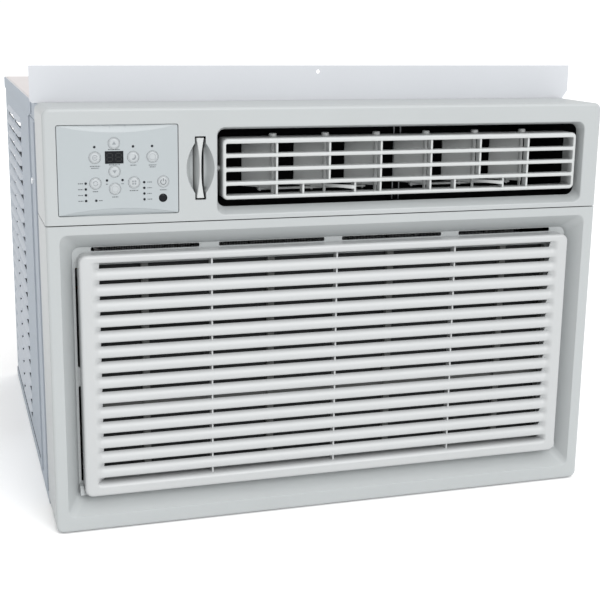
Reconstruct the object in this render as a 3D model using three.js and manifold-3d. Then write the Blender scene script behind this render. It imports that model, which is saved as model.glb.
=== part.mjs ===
// Window air conditioner: slide-out chassis in a steel sleeve, with a moulded front.
// Millimetres, +Z up, front facing -Y. The model is built with the face of the front
// at y = 0 and the underside at z = 0, then moved so that its bounding box is centred.
import * as THREE from 'three';
import { mergeVertices } from 'three/addons/utils/BufferGeometryUtils.js';
import Module from 'manifold-3d';

const wasm = await Module();
wasm.setup();

// ---------- driving dimensions ----------
const FACE_W = 673;
const FACE_H = 488;
const FACE_DEPTH = 92;
const FACE_BOTTOM_Z = 0.4;
const FACE_CORNER_R = 8;
const FACE_WALL = 3;
const FACE_CHAMFER = 4;
const SEAM_Z = 361;
const SEAM_GAP = 0.8;
const REAR_Y = 650;

const SLEEVE_HALF_W = 335;
const SLEEVE_TOP_Z = 487;
const SLEEVE_WALL = 1.8;
const LOUVRE_ROWS = 22;
const LOUVRE_PITCH = 19.4;
const LOUVRE_TOP_Z = 447;
const LOUVRE_SLOT_H = 13;
const LOUVRE_COLUMNS = [[345, 455], [475, 590]];
const HOOD_REACH = 3.4;
const HOOD_DROP = 4;
const HOOD_T = 1.1;
const HEM_FRONT_Y = 150;
const TOP_HEM_H = 17;
const BOTTOM_HEM_H = 13;

const ANGLE_HALF_W = 341;
const ANGLE_Y = 95;
const ANGLE_TOP_Z = 529;
const ANGLE_T = 1.5;
const ANGLE_FLANGE = 26;
const RAIL_Y = [97, 101, 170, 182];
const RAIL_Z = [15, 466];
const RAIL_LIP = 2.8;
const RAIL_SCREW = [150, 391];

const PAN_HALF_W = 328;
const PAN_FLOOR_Z = 5.4;
const PAN_REST_Z = 5.6;

const RECESS_HALF_W = 321.5;
const RECESS_BOTTOM_Z = 19.4;
const RECESS_TOP_Z = 349.6;
const RECESS_DEPTH = 20;
const FLOOR_HALF_W = 308;
const FLOOR_BOTTOM_Z = 36;
const FLOOR_TOP_Z = 334;

const GRILLE_HALF_W = 302;
const GRILLE_BOTTOM_Z = 41.8;
const GRILLE_TOP_Z = 326.8;
const GRILLE_FRONT_Y = -1;
const GRILLE_BACK_Y = 19.4;
const GRILLE_HINGE_Y = 14.5;
const GRILLE_HINGE_Z = 46.7;
const SLAT_COUNT = 14;
const SLAT_PITCH = 18;
const SLAT_TOP_Z = 304.3;
const GRILLE_RIB_X = [-151, 0, 151];

const OUTLET_X = 84.5;
const OUTLET_Z = 417.7;
const OUTLET_MOUTH = { x0: -145.2, x1: 314.8, z0: 367.2, z1: 465.4 };
const OUTLET_THROAT = { x0: -142, x1: 311.5, z0: 375, z1: 462 };
const OUTLET_LIP_Y = 15;
const OUTLET_LIP_WALL = 1.8;
const LOUVER_HALF_W = 222.5;
const LOUVER_HALF_H = 34.5;
const LOUVER_FRONT_Y = 4;
const LOUVER_BACK_Y = 16;
const LOUVER_WALL_Y = 31;
const LOUVER_WALL = 3;
const LOUVER_PIVOT_Y = 21;
const ROW_H = 11.4;
const BAR_H = 4.4;
const ROW_COUNT = 4;
const VANE_PITCH = 63.4;
const VANE_COUNT = 6;
const VANE_PIVOT_Y = 26;
const VANE_CHORD = 40;
const VANE_ANGLE = 50;
const CRANK = 16;

const PANEL_BOX = { x0: -322, x1: -189.5, z0: 371.5, z1: 470 };
const PANEL_CORNER_R = 2;
const FIELD_SAG = 8;
const FIELD_CROWN = 6.8;
const BUTTON_R = 6.4;
const BUTTONS = {
  button_check: [-281.2, 434.9],
  button_up: [-260.2, 450.2],
  button_down: [-260.2, 419.4],
  button_sleep: [-239.4, 434.8],
  button_energy: [-218.2, 434.8],
  button_mode: [-281.2, 406.8],
  button_timer: [-260.0, 400.4],
  button_fan: [-239.0, 406.8],
  button_power: [-206.6, 407.0],
};
const LAMPS = [
  [-281.4, 446.4], [-239.4, 446.4], [-218.4, 446.4],
  [-291.8, 407.0], [-291.8, 400.6], [-291.8, 394.2], [-291.8, 387.9], [-280.8, 387.9],
  [-227.8, 406.8], [-227.8, 400.5], [-227.8, 394.2], [-227.8, 387.8],
  [-268.6, 409.8], [-251.6, 409.8],
];
const DISPLAY_BOX = { x0: -270.2, x1: -250.2, z0: 428.1, z1: 441.6 };
const IR_POS = [-207, 388.8];
const IR_R = 4.1;

const VENT_X = -164.4;
const VENT_Z = 420.6;
const VENT_HALF_W = 16;
const VENT_HALF_H = 36;
const VENT_DEPTH = 12.4;
const VENT_SLOT_HALF_W = 6.3;
const VENT_SLOT_HALF_H = 35.5;
const PULL_HALF_H = 33.6;

const FAN_X = 62;
const FAN_Z = 212;
const SHAFT_R = 6;
const PARTITION_Y = 240;
const COMPRESSOR = { x: -196, y: 400, r: 62, z0: 26, z1: 302 };
// Thin upright guard wires in the outlet duct, as (x, y).
const GUARD_WIRES = [[94, 74], [102.5, 74]];

// ---------- geometry helpers ----------
const ALONG_Y = new THREE.Matrix4().makeBasis(
  new THREE.Vector3(1, 0, 0), new THREE.Vector3(0, 0, 1), new THREE.Vector3(0, -1, 0));
const ALONG_X = new THREE.Matrix4().makeBasis(
  new THREE.Vector3(0, 1, 0), new THREE.Vector3(0, 0, 1), new THREE.Vector3(1, 0, 0));

function solid(geometry) {
  const bare = geometry.clone();
  bare.deleteAttribute('normal');
  bare.deleteAttribute('uv');
  const welded = mergeVertices(bare, 1e-4);
  return new wasm.Manifold(new wasm.Mesh({
    numProp: 3,
    vertProperties: new Float32Array(welded.attributes.position.array),
    triVerts: new Uint32Array(welded.index.array),
  }));
}

function box(x0, x1, y0, y1, z0, z1) {
  const geometry = new THREE.BoxGeometry(x1 - x0, y1 - y0, z1 - z0);
  geometry.translate((x0 + x1) / 2, (y0 + y1) / 2, (z0 + z1) / 2);
  return solid(geometry);
}

function extrude(points, depth) {
  const shape = new THREE.Shape(points.map(([a, b]) => new THREE.Vector2(a, b)));
  return new THREE.ExtrudeGeometry(shape, { depth, bevelEnabled: false });
}

// Outline in (x, z), run from y0 to y1.
function prismY(points, y0, y1) {
  return solid(extrude(points, y1 - y0).applyMatrix4(ALONG_Y).translate(0, y1, 0));
}

// Outline in (y, z), run from x0 to x1.
function prismX(points, x0, x1) {
  return solid(extrude(points, x1 - x0).applyMatrix4(ALONG_X).translate(x0, 0, 0));
}

// Outline in (x, y), run from z0 to z1.
function prismZ(points, z0, z1) {
  return solid(extrude(points, z1 - z0).translate(0, 0, z0));
}

// Prism along y whose far end is a different rectangle: the near outline is stretched to it.
function taperY(near, far, radius, y0, y1) {
  const geometry = extrude(roundedRect(near, radius), y1 - y0);
  geometry.applyMatrix4(ALONG_Y).translate(0, y1, 0);
  const position = geometry.attributes.position;
  const stretch = (v, a0, a1, b0, b1) => b0 + ((v - a0) / (a1 - a0)) * (b1 - b0);
  for (let i = 0; i < position.count; i += 1) {
    if (position.getY(i) > (y0 + y1) / 2) {
      position.setX(i, stretch(position.getX(i), near.x0, near.x1, far.x0, far.x1));
      position.setZ(i, stretch(position.getZ(i), near.z0, near.z1, far.z0, far.z1));
    }
  }
  return solid(geometry);
}

function roundedRect(r, radius, steps = 4) {
  const corners = [
    [r.x1 - radius, r.z1 - radius, 0],
    [r.x0 + radius, r.z1 - radius, 90],
    [r.x0 + radius, r.z0 + radius, 180],
    [r.x1 - radius, r.z0 + radius, 270],
  ];
  const points = [];
  for (const [cx, cz, start] of corners) {
    for (let i = 0; i <= steps; i += 1) {
      const a = THREE.MathUtils.degToRad(start + (90 * i) / steps);
      points.push([cx + radius * Math.cos(a), cz + radius * Math.sin(a)]);
    }
  }
  return points;
}

function rect(x0, x1, z0, z1) {
  return { x0, x1, z0, z1 };
}

// Round bar along an axis: centre (a, b) in the other two axes, in x, y, z order.
function rod(axis, a, b, radius, from, to, segments = 20) {
  const geometry = new THREE.CylinderGeometry(radius, radius, to - from, segments);
  const mid = (from + to) / 2;
  if (axis === 'x') {
    geometry.rotateZ(Math.PI / 2).translate(mid, a, b);
  } else if (axis === 'y') {
    geometry.translate(a, mid, b);
  } else {
    geometry.rotateX(Math.PI / 2).translate(a, b, mid);
  }
  return solid(geometry);
}

// Closed profile of (radius, height) turned about the y axis or the z axis.
function turned(axis, a, b, profile, segments = 20) {
  const geometry = new THREE.LatheGeometry(profile.map(([r, h]) => new THREE.Vector2(r, h)), segments);
  if (axis === 'y') {
    geometry.translate(a, 0, b);
  } else {
    geometry.rotateX(Math.PI / 2).translate(a, b, 0);
  }
  const made = solid(geometry);
  return made.volume() < 0 ? solid(flipped(geometry)) : made;
}

function flipped(geometry) {
  const copy = geometry.clone();
  const index = copy.index.array;
  for (let i = 0; i < index.length; i += 3) {
    [index[i], index[i + 1]] = [index[i + 1], index[i]];
  }
  return copy;
}

// Round tube body swept along a smooth path through the given points.
function tube(points, radius, steps, sides = 6) {
  const path = new THREE.CatmullRomCurve3(points.map((p) => new THREE.Vector3(...p)), false, 'centripetal');
  const ring = [];
  for (let i = 0; i < sides; i += 1) {
    const a = (i / sides) * Math.PI * 2;
    ring.push(new THREE.Vector2(radius * Math.cos(a), radius * Math.sin(a)));
  }
  const shape = new THREE.Shape(ring);
  return solid(new THREE.ExtrudeGeometry(shape, { steps, extrudePath: path }));
}

function union(list) {
  return list.reduce((all, next) => all.add(next));
}

function mirrorX(piece) {
  return piece.mirror([1, 0, 0]);
}

const group = new THREE.Group();
group.name = 'window_air_conditioner';

const FINISH = {
  steel: [0xc3cad2, 0.5, 0.1],
  galvanised: [0xa9afb4, 0.45, 0.7],
  plastic: [0xd4d8d7, 0.5, 0],
  overlay: [0xc6cdd3, 0.45, 0],
  button: [0xbfc6cc, 0.45, 0],
  window: [0x14171a, 0.15, 0],
  lamp: [0x3a3f3c, 0.3, 0],
  board: [0x2e6a44, 0.5, 0],
  fins: [0xb8bcbf, 0.35, 0.8],
  copper: [0xb8734a, 0.3, 0.9],
  black: [0x1c1e20, 0.45, 0.2],
  foam: [0xe6e6e0, 0.9, 0],
  mesh: [0x3b4044, 0.8, 0],
  motor: [0x8d9296, 0.4, 0.6],
  rubber: [0x222222, 0.8, 0],
};

function place(name, body, finish) {
  const mesh = body.getMesh();
  const geometry = new THREE.BufferGeometry();
  const count = mesh.vertProperties.length / mesh.numProp;
  const position = new Float32Array(count * 3);
  for (let i = 0; i < count; i += 1) {
    for (let k = 0; k < 3; k += 1) {
      position[3 * i + k] = mesh.vertProperties[mesh.numProp * i + k];
    }
  }
  geometry.setAttribute('position', new THREE.BufferAttribute(position, 3));
  geometry.setIndex(new THREE.BufferAttribute(new Uint32Array(mesh.triVerts), 1));
  geometry.computeVertexNormals();
  const [color, roughness, metalness] = FINISH[finish];
  const piece = new THREE.Mesh(geometry, new THREE.MeshStandardMaterial({ color, roughness, metalness }));
  piece.name = name;
  group.add(piece);
}

// ---------- sleeve and mounting parts ----------
function cabinetSleeve() {
  const h = SLEEVE_HALF_W;
  const front = FACE_DEPTH + 0.2;
  const shell = box(-h, h, front, REAR_Y, 0, SLEEVE_TOP_Z);
  const hollow = box(-h + SLEEVE_WALL, h - SLEEVE_WALL, front - 1, REAR_Y + 1,
    SLEEVE_WALL, SLEEVE_TOP_Z - SLEEVE_WALL);
  const slots = [];
  const hoods = [];
  for (let row = 0; row < LOUVRE_ROWS; row += 1) {
    const z = LOUVRE_TOP_Z - row * LOUVRE_PITCH;
    const lip = z - HOOD_DROP;
    const section = [
      [h - 0.9, z], [h, z + 1.4], [h + HOOD_REACH, lip], [h + HOOD_REACH - HOOD_T, lip - 0.4],
    ];
    for (const [y0, y1] of LOUVRE_COLUMNS) {
      slots.push(box(-h - 1, h + 1, y0, y1, z - LOUVRE_SLOT_H, z));
      const hood = prismY(section, y0, y1);
      hoods.push(hood, mirrorX(hood));
    }
  }
  // Folded hem along the top and bottom of each side.
  const topHem = box(h - 1, h + 1.5, HEM_FRONT_Y, REAR_Y, SLEEVE_TOP_Z - TOP_HEM_H, SLEEVE_TOP_Z);
  const bottomHem = box(h - 1, h + 1.2, front, REAR_Y, 0, BOTTOM_HEM_H);
  const hems = [topHem, mirrorX(topHem), bottomHem, mirrorX(bottomHem)];
  return union([shell.subtract(hollow).subtract(union(slots)), ...hoods, ...hems]);
}

function topAngle() {
  const w = ANGLE_HALF_W;
  const z0 = SLEEVE_TOP_Z;
  const leg = prismY([
    [-w, z0 + 2], [-w, ANGLE_TOP_Z], [w, ANGLE_TOP_Z], [w, z0 + 10], [w - 7, z0], [-w + 3, z0],
  ], ANGLE_Y, ANGLE_Y + ANGLE_T);
  const flange = box(-SLEEVE_HALF_W, SLEEVE_HALF_W, ANGLE_Y, ANGLE_Y + ANGLE_FLANGE, z0, z0 + ANGLE_T);
  const hole = rod('y', 2, ANGLE_TOP_Z - 7.4, 2.4, ANGLE_Y - 1, ANGLE_Y + ANGLE_T + 1, 12);
  return leg.add(flange).subtract(hole);
}

// Vertical channel on the side of the sleeve that holds a filler curtain.
function sideRail() {
  const x0 = SLEEVE_HALF_W;
  const [front, frontLipEnd, rearLipStart, rear] = RAIL_Y;
  const [z0, z1] = RAIL_Z;
  const plate = box(x0, x0 + 1, front, rear, z0, z1);
  const frontLip = box(x0, x0 + RAIL_LIP, front, frontLipEnd, z0, z1);
  const rearLip = box(x0, x0 + RAIL_LIP, rearLipStart, rear, z0, z1);
  const hole = rod('x', ...RAIL_SCREW, 2.6, x0 - 1, x0 + 2, 12);
  return union([plate, frontLip, rearLip]).subtract(hole);
}

function railScrew() {
  const x0 = SLEEVE_HALF_W;
  const head = rod('x', ...RAIL_SCREW, 4, x0 + 1, x0 + 3, 14);
  return head.add(rod('x', ...RAIL_SCREW, 2, x0 + 0.2, x0 + 1.5, 12));
}

function basePan() {
  const wall = 1.6;
  const z0 = PAN_FLOOR_Z - wall;
  const w = PAN_HALF_W;
  const pan = box(-w, w, 66, 646, z0, 28);
  const hollow = box(-w + wall, w - wall, 66 + wall, 646 - wall, PAN_FLOOR_Z, 30);
  return pan.subtract(hollow);
}

// ---------- moulded front ----------
function frontShell() {
  const w = FACE_W / 2;
  const c = FACE_CHAMFER;
  const z0 = FACE_BOTTOM_Z;
  const outline = prismY(roundedRect(rect(-w, w, z0, FACE_H), FACE_CORNER_R), 0, FACE_DEPTH);
  const side = prismX([[c, z0], [FACE_DEPTH, z0], [FACE_DEPTH, FACE_H], [c, FACE_H],
    [0, FACE_H - c], [0, z0 + c]], -w - 1, w + 1);
  const plan = prismZ([[-w + c, 0], [w - c, 0], [w, c], [w, FACE_DEPTH], [-w, FACE_DEPTH], [-w, c]],
    -1, FACE_H + 1);
  const inside = rect(-w + FACE_WALL, w - FACE_WALL, z0 + FACE_WALL, FACE_H - FACE_WALL);
  const hollow = prismY(roundedRect(inside, FACE_CORNER_R - 2), FACE_WALL, FACE_DEPTH + 1);
  return outline.intersect(side).intersect(plan).subtract(hollow);
}

// Lens-shaped body run from y0 to y1, whose width shrinks from the near scale to the far one.
function lensBody(near, far, y0, y1) {
  const points = [];
  const steps = 8;
  for (let i = 0; i < 2 * steps; i += 1) {
    const side = i < steps ? 1 : -1;
    const t = ((i % steps) / steps) * 2 - 1;
    points.push([VENT_X + side * VENT_HALF_W * (1 - t * t), VENT_Z + side * t * VENT_HALF_H]);
  }
  const geometry = extrude(points, y1 - y0).applyMatrix4(ALONG_Y).translate(0, y1, 0);
  const position = geometry.attributes.position;
  for (let i = 0; i < position.count; i += 1) {
    const scale = position.getY(i) > (y0 + y1) / 2 ? far : near;
    const tall = Math.max(scale, near - 0.06);
    position.setX(i, VENT_X + (position.getX(i) - VENT_X) * scale);
    position.setZ(i, VENT_Z + (position.getZ(i) - VENT_Z) * tall);
  }
  return solid(geometry);
}

function panelRect(grow) {
  const { x0, x1, z0, z1 } = PANEL_BOX;
  return roundedRect(rect(x0 - grow, x1 + grow, z0 - grow, z1 + grow), PANEL_CORNER_R + grow);
}

// Opening with lips that slope in to a narrower throat.
function cutOutlet(body) {
  const grow = (r) => rect(r.x0 - OUTLET_LIP_WALL, r.x1 + OUTLET_LIP_WALL, r.z0 - OUTLET_LIP_WALL,
    r.z1 + OUTLET_LIP_WALL);
  const lip = taperY(grow(OUTLET_MOUTH), grow(OUTLET_THROAT), 10, 0.5, OUTLET_LIP_Y);
  return body.add(lip).subtract(taperY(OUTLET_MOUTH, OUTLET_THROAT, 9, -0.01, OUTLET_LIP_Y + 0.01));
}

function upperFrontPanel() {
  const w = FACE_W / 2 + 1;
  const seam = SEAM_Z + SEAM_GAP / 2;
  let body = frontShell().intersect(box(-w, w, -1, FACE_DEPTH + 1, seam, FACE_H + 1));
  body = body.add(box(-w + 2.5, w - 2.5, 1, FACE_DEPTH, seam, seam + FACE_WALL));
  body = cutOutlet(body).subtract(prismY(panelRect(0.4), -1, FACE_WALL + 1));
  body = body.add(lensBody(1.14, 0.62, 1, VENT_DEPTH + 1.6));
  body = body.subtract(lensBody(1, 0.44, -0.01, VENT_DEPTH));
  const slot = roundedRect(rect(VENT_X - VENT_SLOT_HALF_W, VENT_X + VENT_SLOT_HALF_W,
    VENT_Z - VENT_SLOT_HALF_H, VENT_Z + VENT_SLOT_HALF_H), 1);
  return body.subtract(prismY(slot, -1, VENT_DEPTH + 3));
}

function perimeterSlots() {
  const slots = [];
  for (const [x0, x1] of [[-286, -162], [-139, -11], [11, 139], [162, 286]]) {
    slots.push(box(x0, x1, RECESS_DEPTH - 1, RECESS_DEPTH + 5, 328, FLOOR_TOP_Z - 0.5));
  }
  for (const [z0, z1] of [[55, 171], [194, 310]]) {
    const slot = box(303, FLOOR_HALF_W - 0.5, RECESS_DEPTH - 1, RECESS_DEPTH + 5, z0, z1);
    slots.push(slot, mirrorX(slot));
  }
  return union(slots);
}

function lowerFrontPanel() {
  const w = FACE_W / 2 + 1;
  const seam = SEAM_Z - SEAM_GAP / 2;
  let body = frontShell().intersect(box(-w, w, -1, FACE_DEPTH + 1, -1, seam));
  body = body.add(box(-w + 2.5, w - 2.5, 1, FACE_DEPTH, seam - FACE_WALL, seam));
  const mouth = rect(-RECESS_HALF_W, RECESS_HALF_W, RECESS_BOTTOM_Z, RECESS_TOP_Z);
  const floor = rect(-FLOOR_HALF_W, FLOOR_HALF_W, FLOOR_BOTTOM_Z, FLOOR_TOP_Z);
  const t = FACE_WALL;
  const grow = (r) => rect(r.x0 - t, r.x1 + t, r.z0 - t, r.z1 + t);
  body = body.add(taperY(grow(mouth), grow(floor), 8, 0.5, RECESS_DEPTH + t));
  body = body.subtract(taperY(mouth, floor, 6, -0.01, RECESS_DEPTH));
  body = body.subtract(box(-283, 283, RECESS_DEPTH - 1, RECESS_DEPTH + 5, 60, 312));
  body = body.subtract(perimeterSlots());
  // Hinge lugs for the intake grille, one at each lower corner of the recess.
  let lug = box(302.9, 306.9, 9, RECESS_DEPTH + 0.5, 41.5, 52);
  lug = lug.subtract(rod('x', GRILLE_HINGE_Y, GRILLE_HINGE_Z, 2.8, 300, 310, 12));
  body = body.add(lug).add(mirrorX(lug));
  // Hole for the cord bushing, low on the right side.
  return body.subtract(rod('x', 48, 28, 8.2, 330, 340, 18));
}

function slatProfile(z) {
  const profile = [
    [1.2, -6.6], [0, -2.5], [1.5, 3.6], [5.6, 6.4], [9, 6.6], [9, 4.6], [4.6, 2.4], [3.4, -6.6],
  ];
  return profile.map(([y, dz]) => [y, z + dz]);
}

function intakeGrille() {
  const outer = rect(-GRILLE_HALF_W, GRILLE_HALF_W, GRILLE_BOTTOM_Z, GRILLE_TOP_Z);
  const inner = rect(-286, 286, 57.6, 317.6);
  let body = prismY(roundedRect(outer, 8), GRILLE_FRONT_Y, GRILLE_BACK_Y);
  const c = 3;
  const back = 5;
  const side = prismX([
    [GRILLE_FRONT_Y, GRILLE_BOTTOM_Z + c], [GRILLE_FRONT_Y + c, GRILLE_BOTTOM_Z],
    [GRILLE_BACK_Y - back, GRILLE_BOTTOM_Z], [GRILLE_BACK_Y, GRILLE_BOTTOM_Z + back],
    [GRILLE_BACK_Y, GRILLE_TOP_Z], [GRILLE_FRONT_Y + c, GRILLE_TOP_Z], [GRILLE_FRONT_Y, GRILLE_TOP_Z - c],
  ], -310, 310);
  const w = GRILLE_HALF_W;
  const plan = prismZ([[-w + c, GRILLE_FRONT_Y], [w - c, GRILLE_FRONT_Y], [w, GRILLE_FRONT_Y + c],
    [w, GRILLE_BACK_Y], [-w, GRILLE_BACK_Y], [-w, GRILLE_FRONT_Y + c]], 30, 340);
  body = body.intersect(side).intersect(plan);
  body = body.subtract(prismY(roundedRect(inner, 6), GRILLE_FRONT_Y - 1, GRILLE_BACK_Y + 1));
  const parts = [body];
  for (let i = 0; i < SLAT_COUNT; i += 1) {
    parts.push(prismX(slatProfile(SLAT_TOP_Z - i * SLAT_PITCH), -288, 288));
  }
  for (const x of GRILLE_RIB_X) {
    parts.push(box(x - 1.2, x + 1.2, 3, 14, 55, 320));
  }
  for (const sx of [-1, 1]) {
    const from = sx > 0 ? 300 : -306.4;
    parts.push(rod('x', GRILLE_HINGE_Y, GRILLE_HINGE_Z, 2.4, from, from + 6.4, 12));
  }
  return union(parts);
}

function filterFrame() {
  const outer = box(-294, 294, 24, 31, 46, 326);
  let body = outer.subtract(box(-282, 282, 23, 32, 58, 314));
  for (const x of [-225, -75, 75, 225]) {
    body = body.add(box(x - 4, x + 4, 24, 31, 57, 315));
  }
  for (const z of [143, 229]) {
    body = body.add(box(-283, 283, 27, 31, z - 2, z + 2));
  }
  return body;
}

// ---------- tilting louver frame, vanes and links ----------
function vaneX(i) {
  return OUTLET_X + (i - (VANE_COUNT - 1) / 2) * VANE_PITCH;
}

const ROW_Z0 = OUTLET_Z - LOUVER_HALF_H + 4.5;
const LEAD_VANES = [1, 4];
const PIN_BOSS_H = 3.5;

function louverFrame() {
  const outer = rect(OUTLET_X - LOUVER_HALF_W, OUTLET_X + LOUVER_HALF_W,
    OUTLET_Z - LOUVER_HALF_H, OUTLET_Z + LOUVER_HALF_H);
  let body = prismY(roundedRect(outer, 6), LOUVER_FRONT_Y, LOUVER_WALL_Y);
  const t = LOUVER_WALL;
  const inside = rect(outer.x0 + t, outer.x1 - t, outer.z0 + t, outer.z1 - t);
  body = body.subtract(prismY(roundedRect(inside, 3), LOUVER_BACK_Y, LOUVER_WALL_Y + 1));
  for (let row = 0; row < ROW_COUNT; row += 1) {
    const z0 = ROW_Z0 + row * (ROW_H + BAR_H);
    body = body.subtract(box(outer.x0 + 4, outer.x1 - 4, 0, LOUVER_BACK_Y + 1, z0, z0 + ROW_H));
  }
  const ribs = [];
  const pinHoles = [];
  for (let i = 0; i < VANE_COUNT; i += 1) {
    const x = vaneX(i);
    const lead = LEAD_VANES.includes(i);
    const z0 = lead ? ROW_Z0 + ROW_H + 0.1 : outer.z0 + 1;
    ribs.push(box(x - 1.2, x + 1.2, LOUVER_FRONT_Y + 1, LOUVER_BACK_Y, z0, outer.z1 - 1));
    if (lead) {
      for (const side of [-1, 1]) {
        const post = x + (side * VANE_PITCH) / 2;
        ribs.push(box(post - 1.2, post + 1.2, LOUVER_FRONT_Y + 1, LOUVER_BACK_Y,
          outer.z0 + 1, ROW_Z0 + ROW_H + 1));
      }
    }
    // Boss over the upper pin, and a blind hole for each pin.
    ribs.push(rod('z', x, VANE_PIVOT_Y, 4.5, outer.z1 - 0.5, outer.z1 + PIN_BOSS_H, 12));
    pinHoles.push(rod('z', x, VANE_PIVOT_Y, 2.2, outer.z1 - t - 1, outer.z1 - 0.5, 8));
    pinHoles.push(rod('z', x, VANE_PIVOT_Y, 2.2, outer.z0 + 0.5, outer.z0 + t + 1, 8));
  }
  const shafts = [];
  for (const side of [-1, 1]) {
    const from = side > 0 ? outer.x1 - 1 : outer.x0 - 15;
    shafts.push(rod('x', LOUVER_PIVOT_Y, OUTLET_Z, 3, from, from + 16, 14));
  }
  return union([body, ...ribs, ...shafts]).subtract(union(pinHoles));
}

// A vane is drawn pointing straight back, then turned about its pivot to the stored angle.
function turnAboutPivot(body, x, angle) {
  return body.translate([-x, -VANE_PIVOT_Y, 0]).rotate([0, 0, angle]).translate([x, VANE_PIVOT_Y, 0]);
}

function vane(i) {
  const x = vaneX(i);
  const y = VANE_PIVOT_Y;
  const z0 = OUTLET_Z - LOUVER_HALF_H + 8.8;
  const z1 = OUTLET_Z + LOUVER_HALF_H - 5.4;
  const parts = [
    prismZ([[x - 0.9, y], [x + 0.9, y], [x + 0.7, y + VANE_CHORD], [x - 0.7, y + VANE_CHORD]], z0, z1),
    rod('z', x, y, 2.4, z0, z1, 8),
    rod('z', x, y, 1.8, OUTLET_Z - LOUVER_HALF_H + 1, OUTLET_Z + LOUVER_HALF_H - 1, 8),
    rod('z', x, y + CRANK, 1.4, z0 - 4.2, z0 + 2, 8),
  ];
  if (LEAD_VANES.includes(i)) {
    const tip = y - 39;
    parts.push(prismZ([[x - 2, y + 1], [x + 2, y + 1], [x + 2, tip + 10], [x + 3.4, tip + 4],
      [x + 2.4, tip], [x - 2.4, tip], [x - 3.4, tip + 4], [x - 2, tip + 10]], z0 + 0.4, z0 + 4));
  }
  return turnAboutPivot(union(parts), x, VANE_ANGLE);
}

function vaneLink(first) {
  const a = THREE.MathUtils.degToRad(VANE_ANGLE);
  const dx = -CRANK * Math.sin(a);
  const y = VANE_PIVOT_Y + CRANK * Math.cos(a);
  const z1 = OUTLET_Z - LOUVER_HALF_H + 8.2;
  const from = vaneX(first) + dx;
  const to = vaneX(first + 2) + dx;
  let bar = box(from - 3, to + 3, y - 3, y + 3, z1 - 2, z1);
  for (let i = 0; i < 3; i += 1) {
    bar = bar.subtract(rod('z', vaneX(first + i) + dx, y, 1.8, z1 - 3, z1 + 1, 8));
  }
  return bar;
}

// ---------- control panel ----------
// Raised field of the panel: straight sides, a sagging top edge and a crowned bottom edge.
function fieldOutline() {
  const { x0, x1, z0, z1 } = PANEL_BOX;
  const inset = 0.7;
  const steps = 12;
  const at = (t) => x0 + inset + t * (x1 - x0 - 2 * inset);
  const points = [];
  for (let i = 0; i <= steps; i += 1) {
    const t = i / steps;
    points.push([at(t), z0 + inset + FIELD_CROWN * 4 * t * (1 - t)]);
  }
  for (let i = steps; i >= 0; i -= 1) {
    const t = i / steps;
    points.push([at(t), z1 - inset - FIELD_SAG * 4 * t * (1 - t)]);
  }
  return points;
}

function controlPanel() {
  const { x0, x1, z0, z1 } = PANEL_BOX;
  let body = prismY(panelRect(0), 0.8, 4).add(prismY(fieldOutline(), 0.3, 1));
  body = body.add(box(x0 - 4, x1 + 3, FACE_WALL + 0.2, 4.8, z0 - 4, z1 + 4));
  const holes = [];
  for (const [x, z] of Object.values(BUTTONS)) {
    holes.push(rod('y', x, z, BUTTON_R + 0.4, -1, 6, 16));
  }
  for (const [x, z] of LAMPS) {
    holes.push(rod('y', x, z, 1.5, -1, 6, 6));
  }
  holes.push(rod('y', IR_POS[0], IR_POS[1], IR_R + 0.3, -1, 6, 12));
  const d = DISPLAY_BOX;
  holes.push(box(d.x0 - 0.2, d.x1 + 0.2, -1, 6, d.z0 - 0.2, d.z1 + 0.2));
  return body.subtract(union(holes));
}

function button([x, z]) {
  return union([
    rod('y', x, z, BUTTON_R, -0.5, 5.3, 16),
    rod('y', x, z, BUTTON_R + 1.3, 5.2, 6.2, 12),
    rod('y', x, z, 1.6, 6, 10.6, 6),
  ]);
}

function displayWindow() {
  const d = DISPLAY_BOX;
  return box(d.x0, d.x1, 0.6, 5, d.z0, d.z1).add(box(d.x0 - 1.2, d.x1 + 1.2, 5, 6, d.z0 - 0.6, d.z1 + 0.6));
}

function irLens() {
  return rod('y', IR_POS[0], IR_POS[1], IR_R, 0.5, 5, 12)
    .add(rod('y', IR_POS[0], IR_POS[1], IR_R + 1.4, 5, 6.4, 12));
}

// One moulding carries all the light pipes, and has holes for the button stems.
function lightGuide() {
  let plate = box(-296, -214, 7.6, 8.6, 383.5, 451.5);
  for (const [x, z] of Object.values(BUTTONS)) {
    plate = plate.subtract(rod('y', x, z, 2.4, 7, 9, 6));
  }
  return union([plate, ...LAMPS.map(([x, z]) => rod('y', x, z, 1.2, 0.5, 8, 6))]);
}

function controlBoard() {
  return box(-318, -193, 12, 13.6, 376, 466);
}

// ---------- fresh air control ----------
// Hourglass outline of the pull: half width at mid height, and at the ends.
function pullOutline(middle, end) {
  const points = [];
  const steps = 8;
  for (let i = 0; i <= 2 * steps + 1; i += 1) {
    const side = i <= steps ? 1 : -1;
    const t = (((i <= steps ? i : i - 1) % steps) / steps) * 2 - 1;
    const u = i === steps || i === 2 * steps + 1 ? 1 : t;
    points.push([VENT_X + side * (middle + (end - middle) * u * u), VENT_Z + side * PULL_HALF_H * u]);
  }
  return points;
}

// Pull with a finger scoop on each side, and the wire to its door.
function ventPull() {
  return union([
    prismY(pullOutline(1, 4.4), 1, 7),
    prismY(pullOutline(2.8, 4.7), 6.9, 13),
    prismY(pullOutline(4.6, 4.9), 12.9, 20),
    rod('y', VENT_X, 430, 2, 19, 238, 10),
  ]);
}

function ventDoor() {
  const y = PARTITION_Y + 2.4;
  return box(VENT_X - 20, VENT_X + 20, y, y + 1.6, 396, 462)
    .add(rod('x', y + 1.4, 463, 1.6, VENT_X - 24, VENT_X + 24, 10));
}

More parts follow.
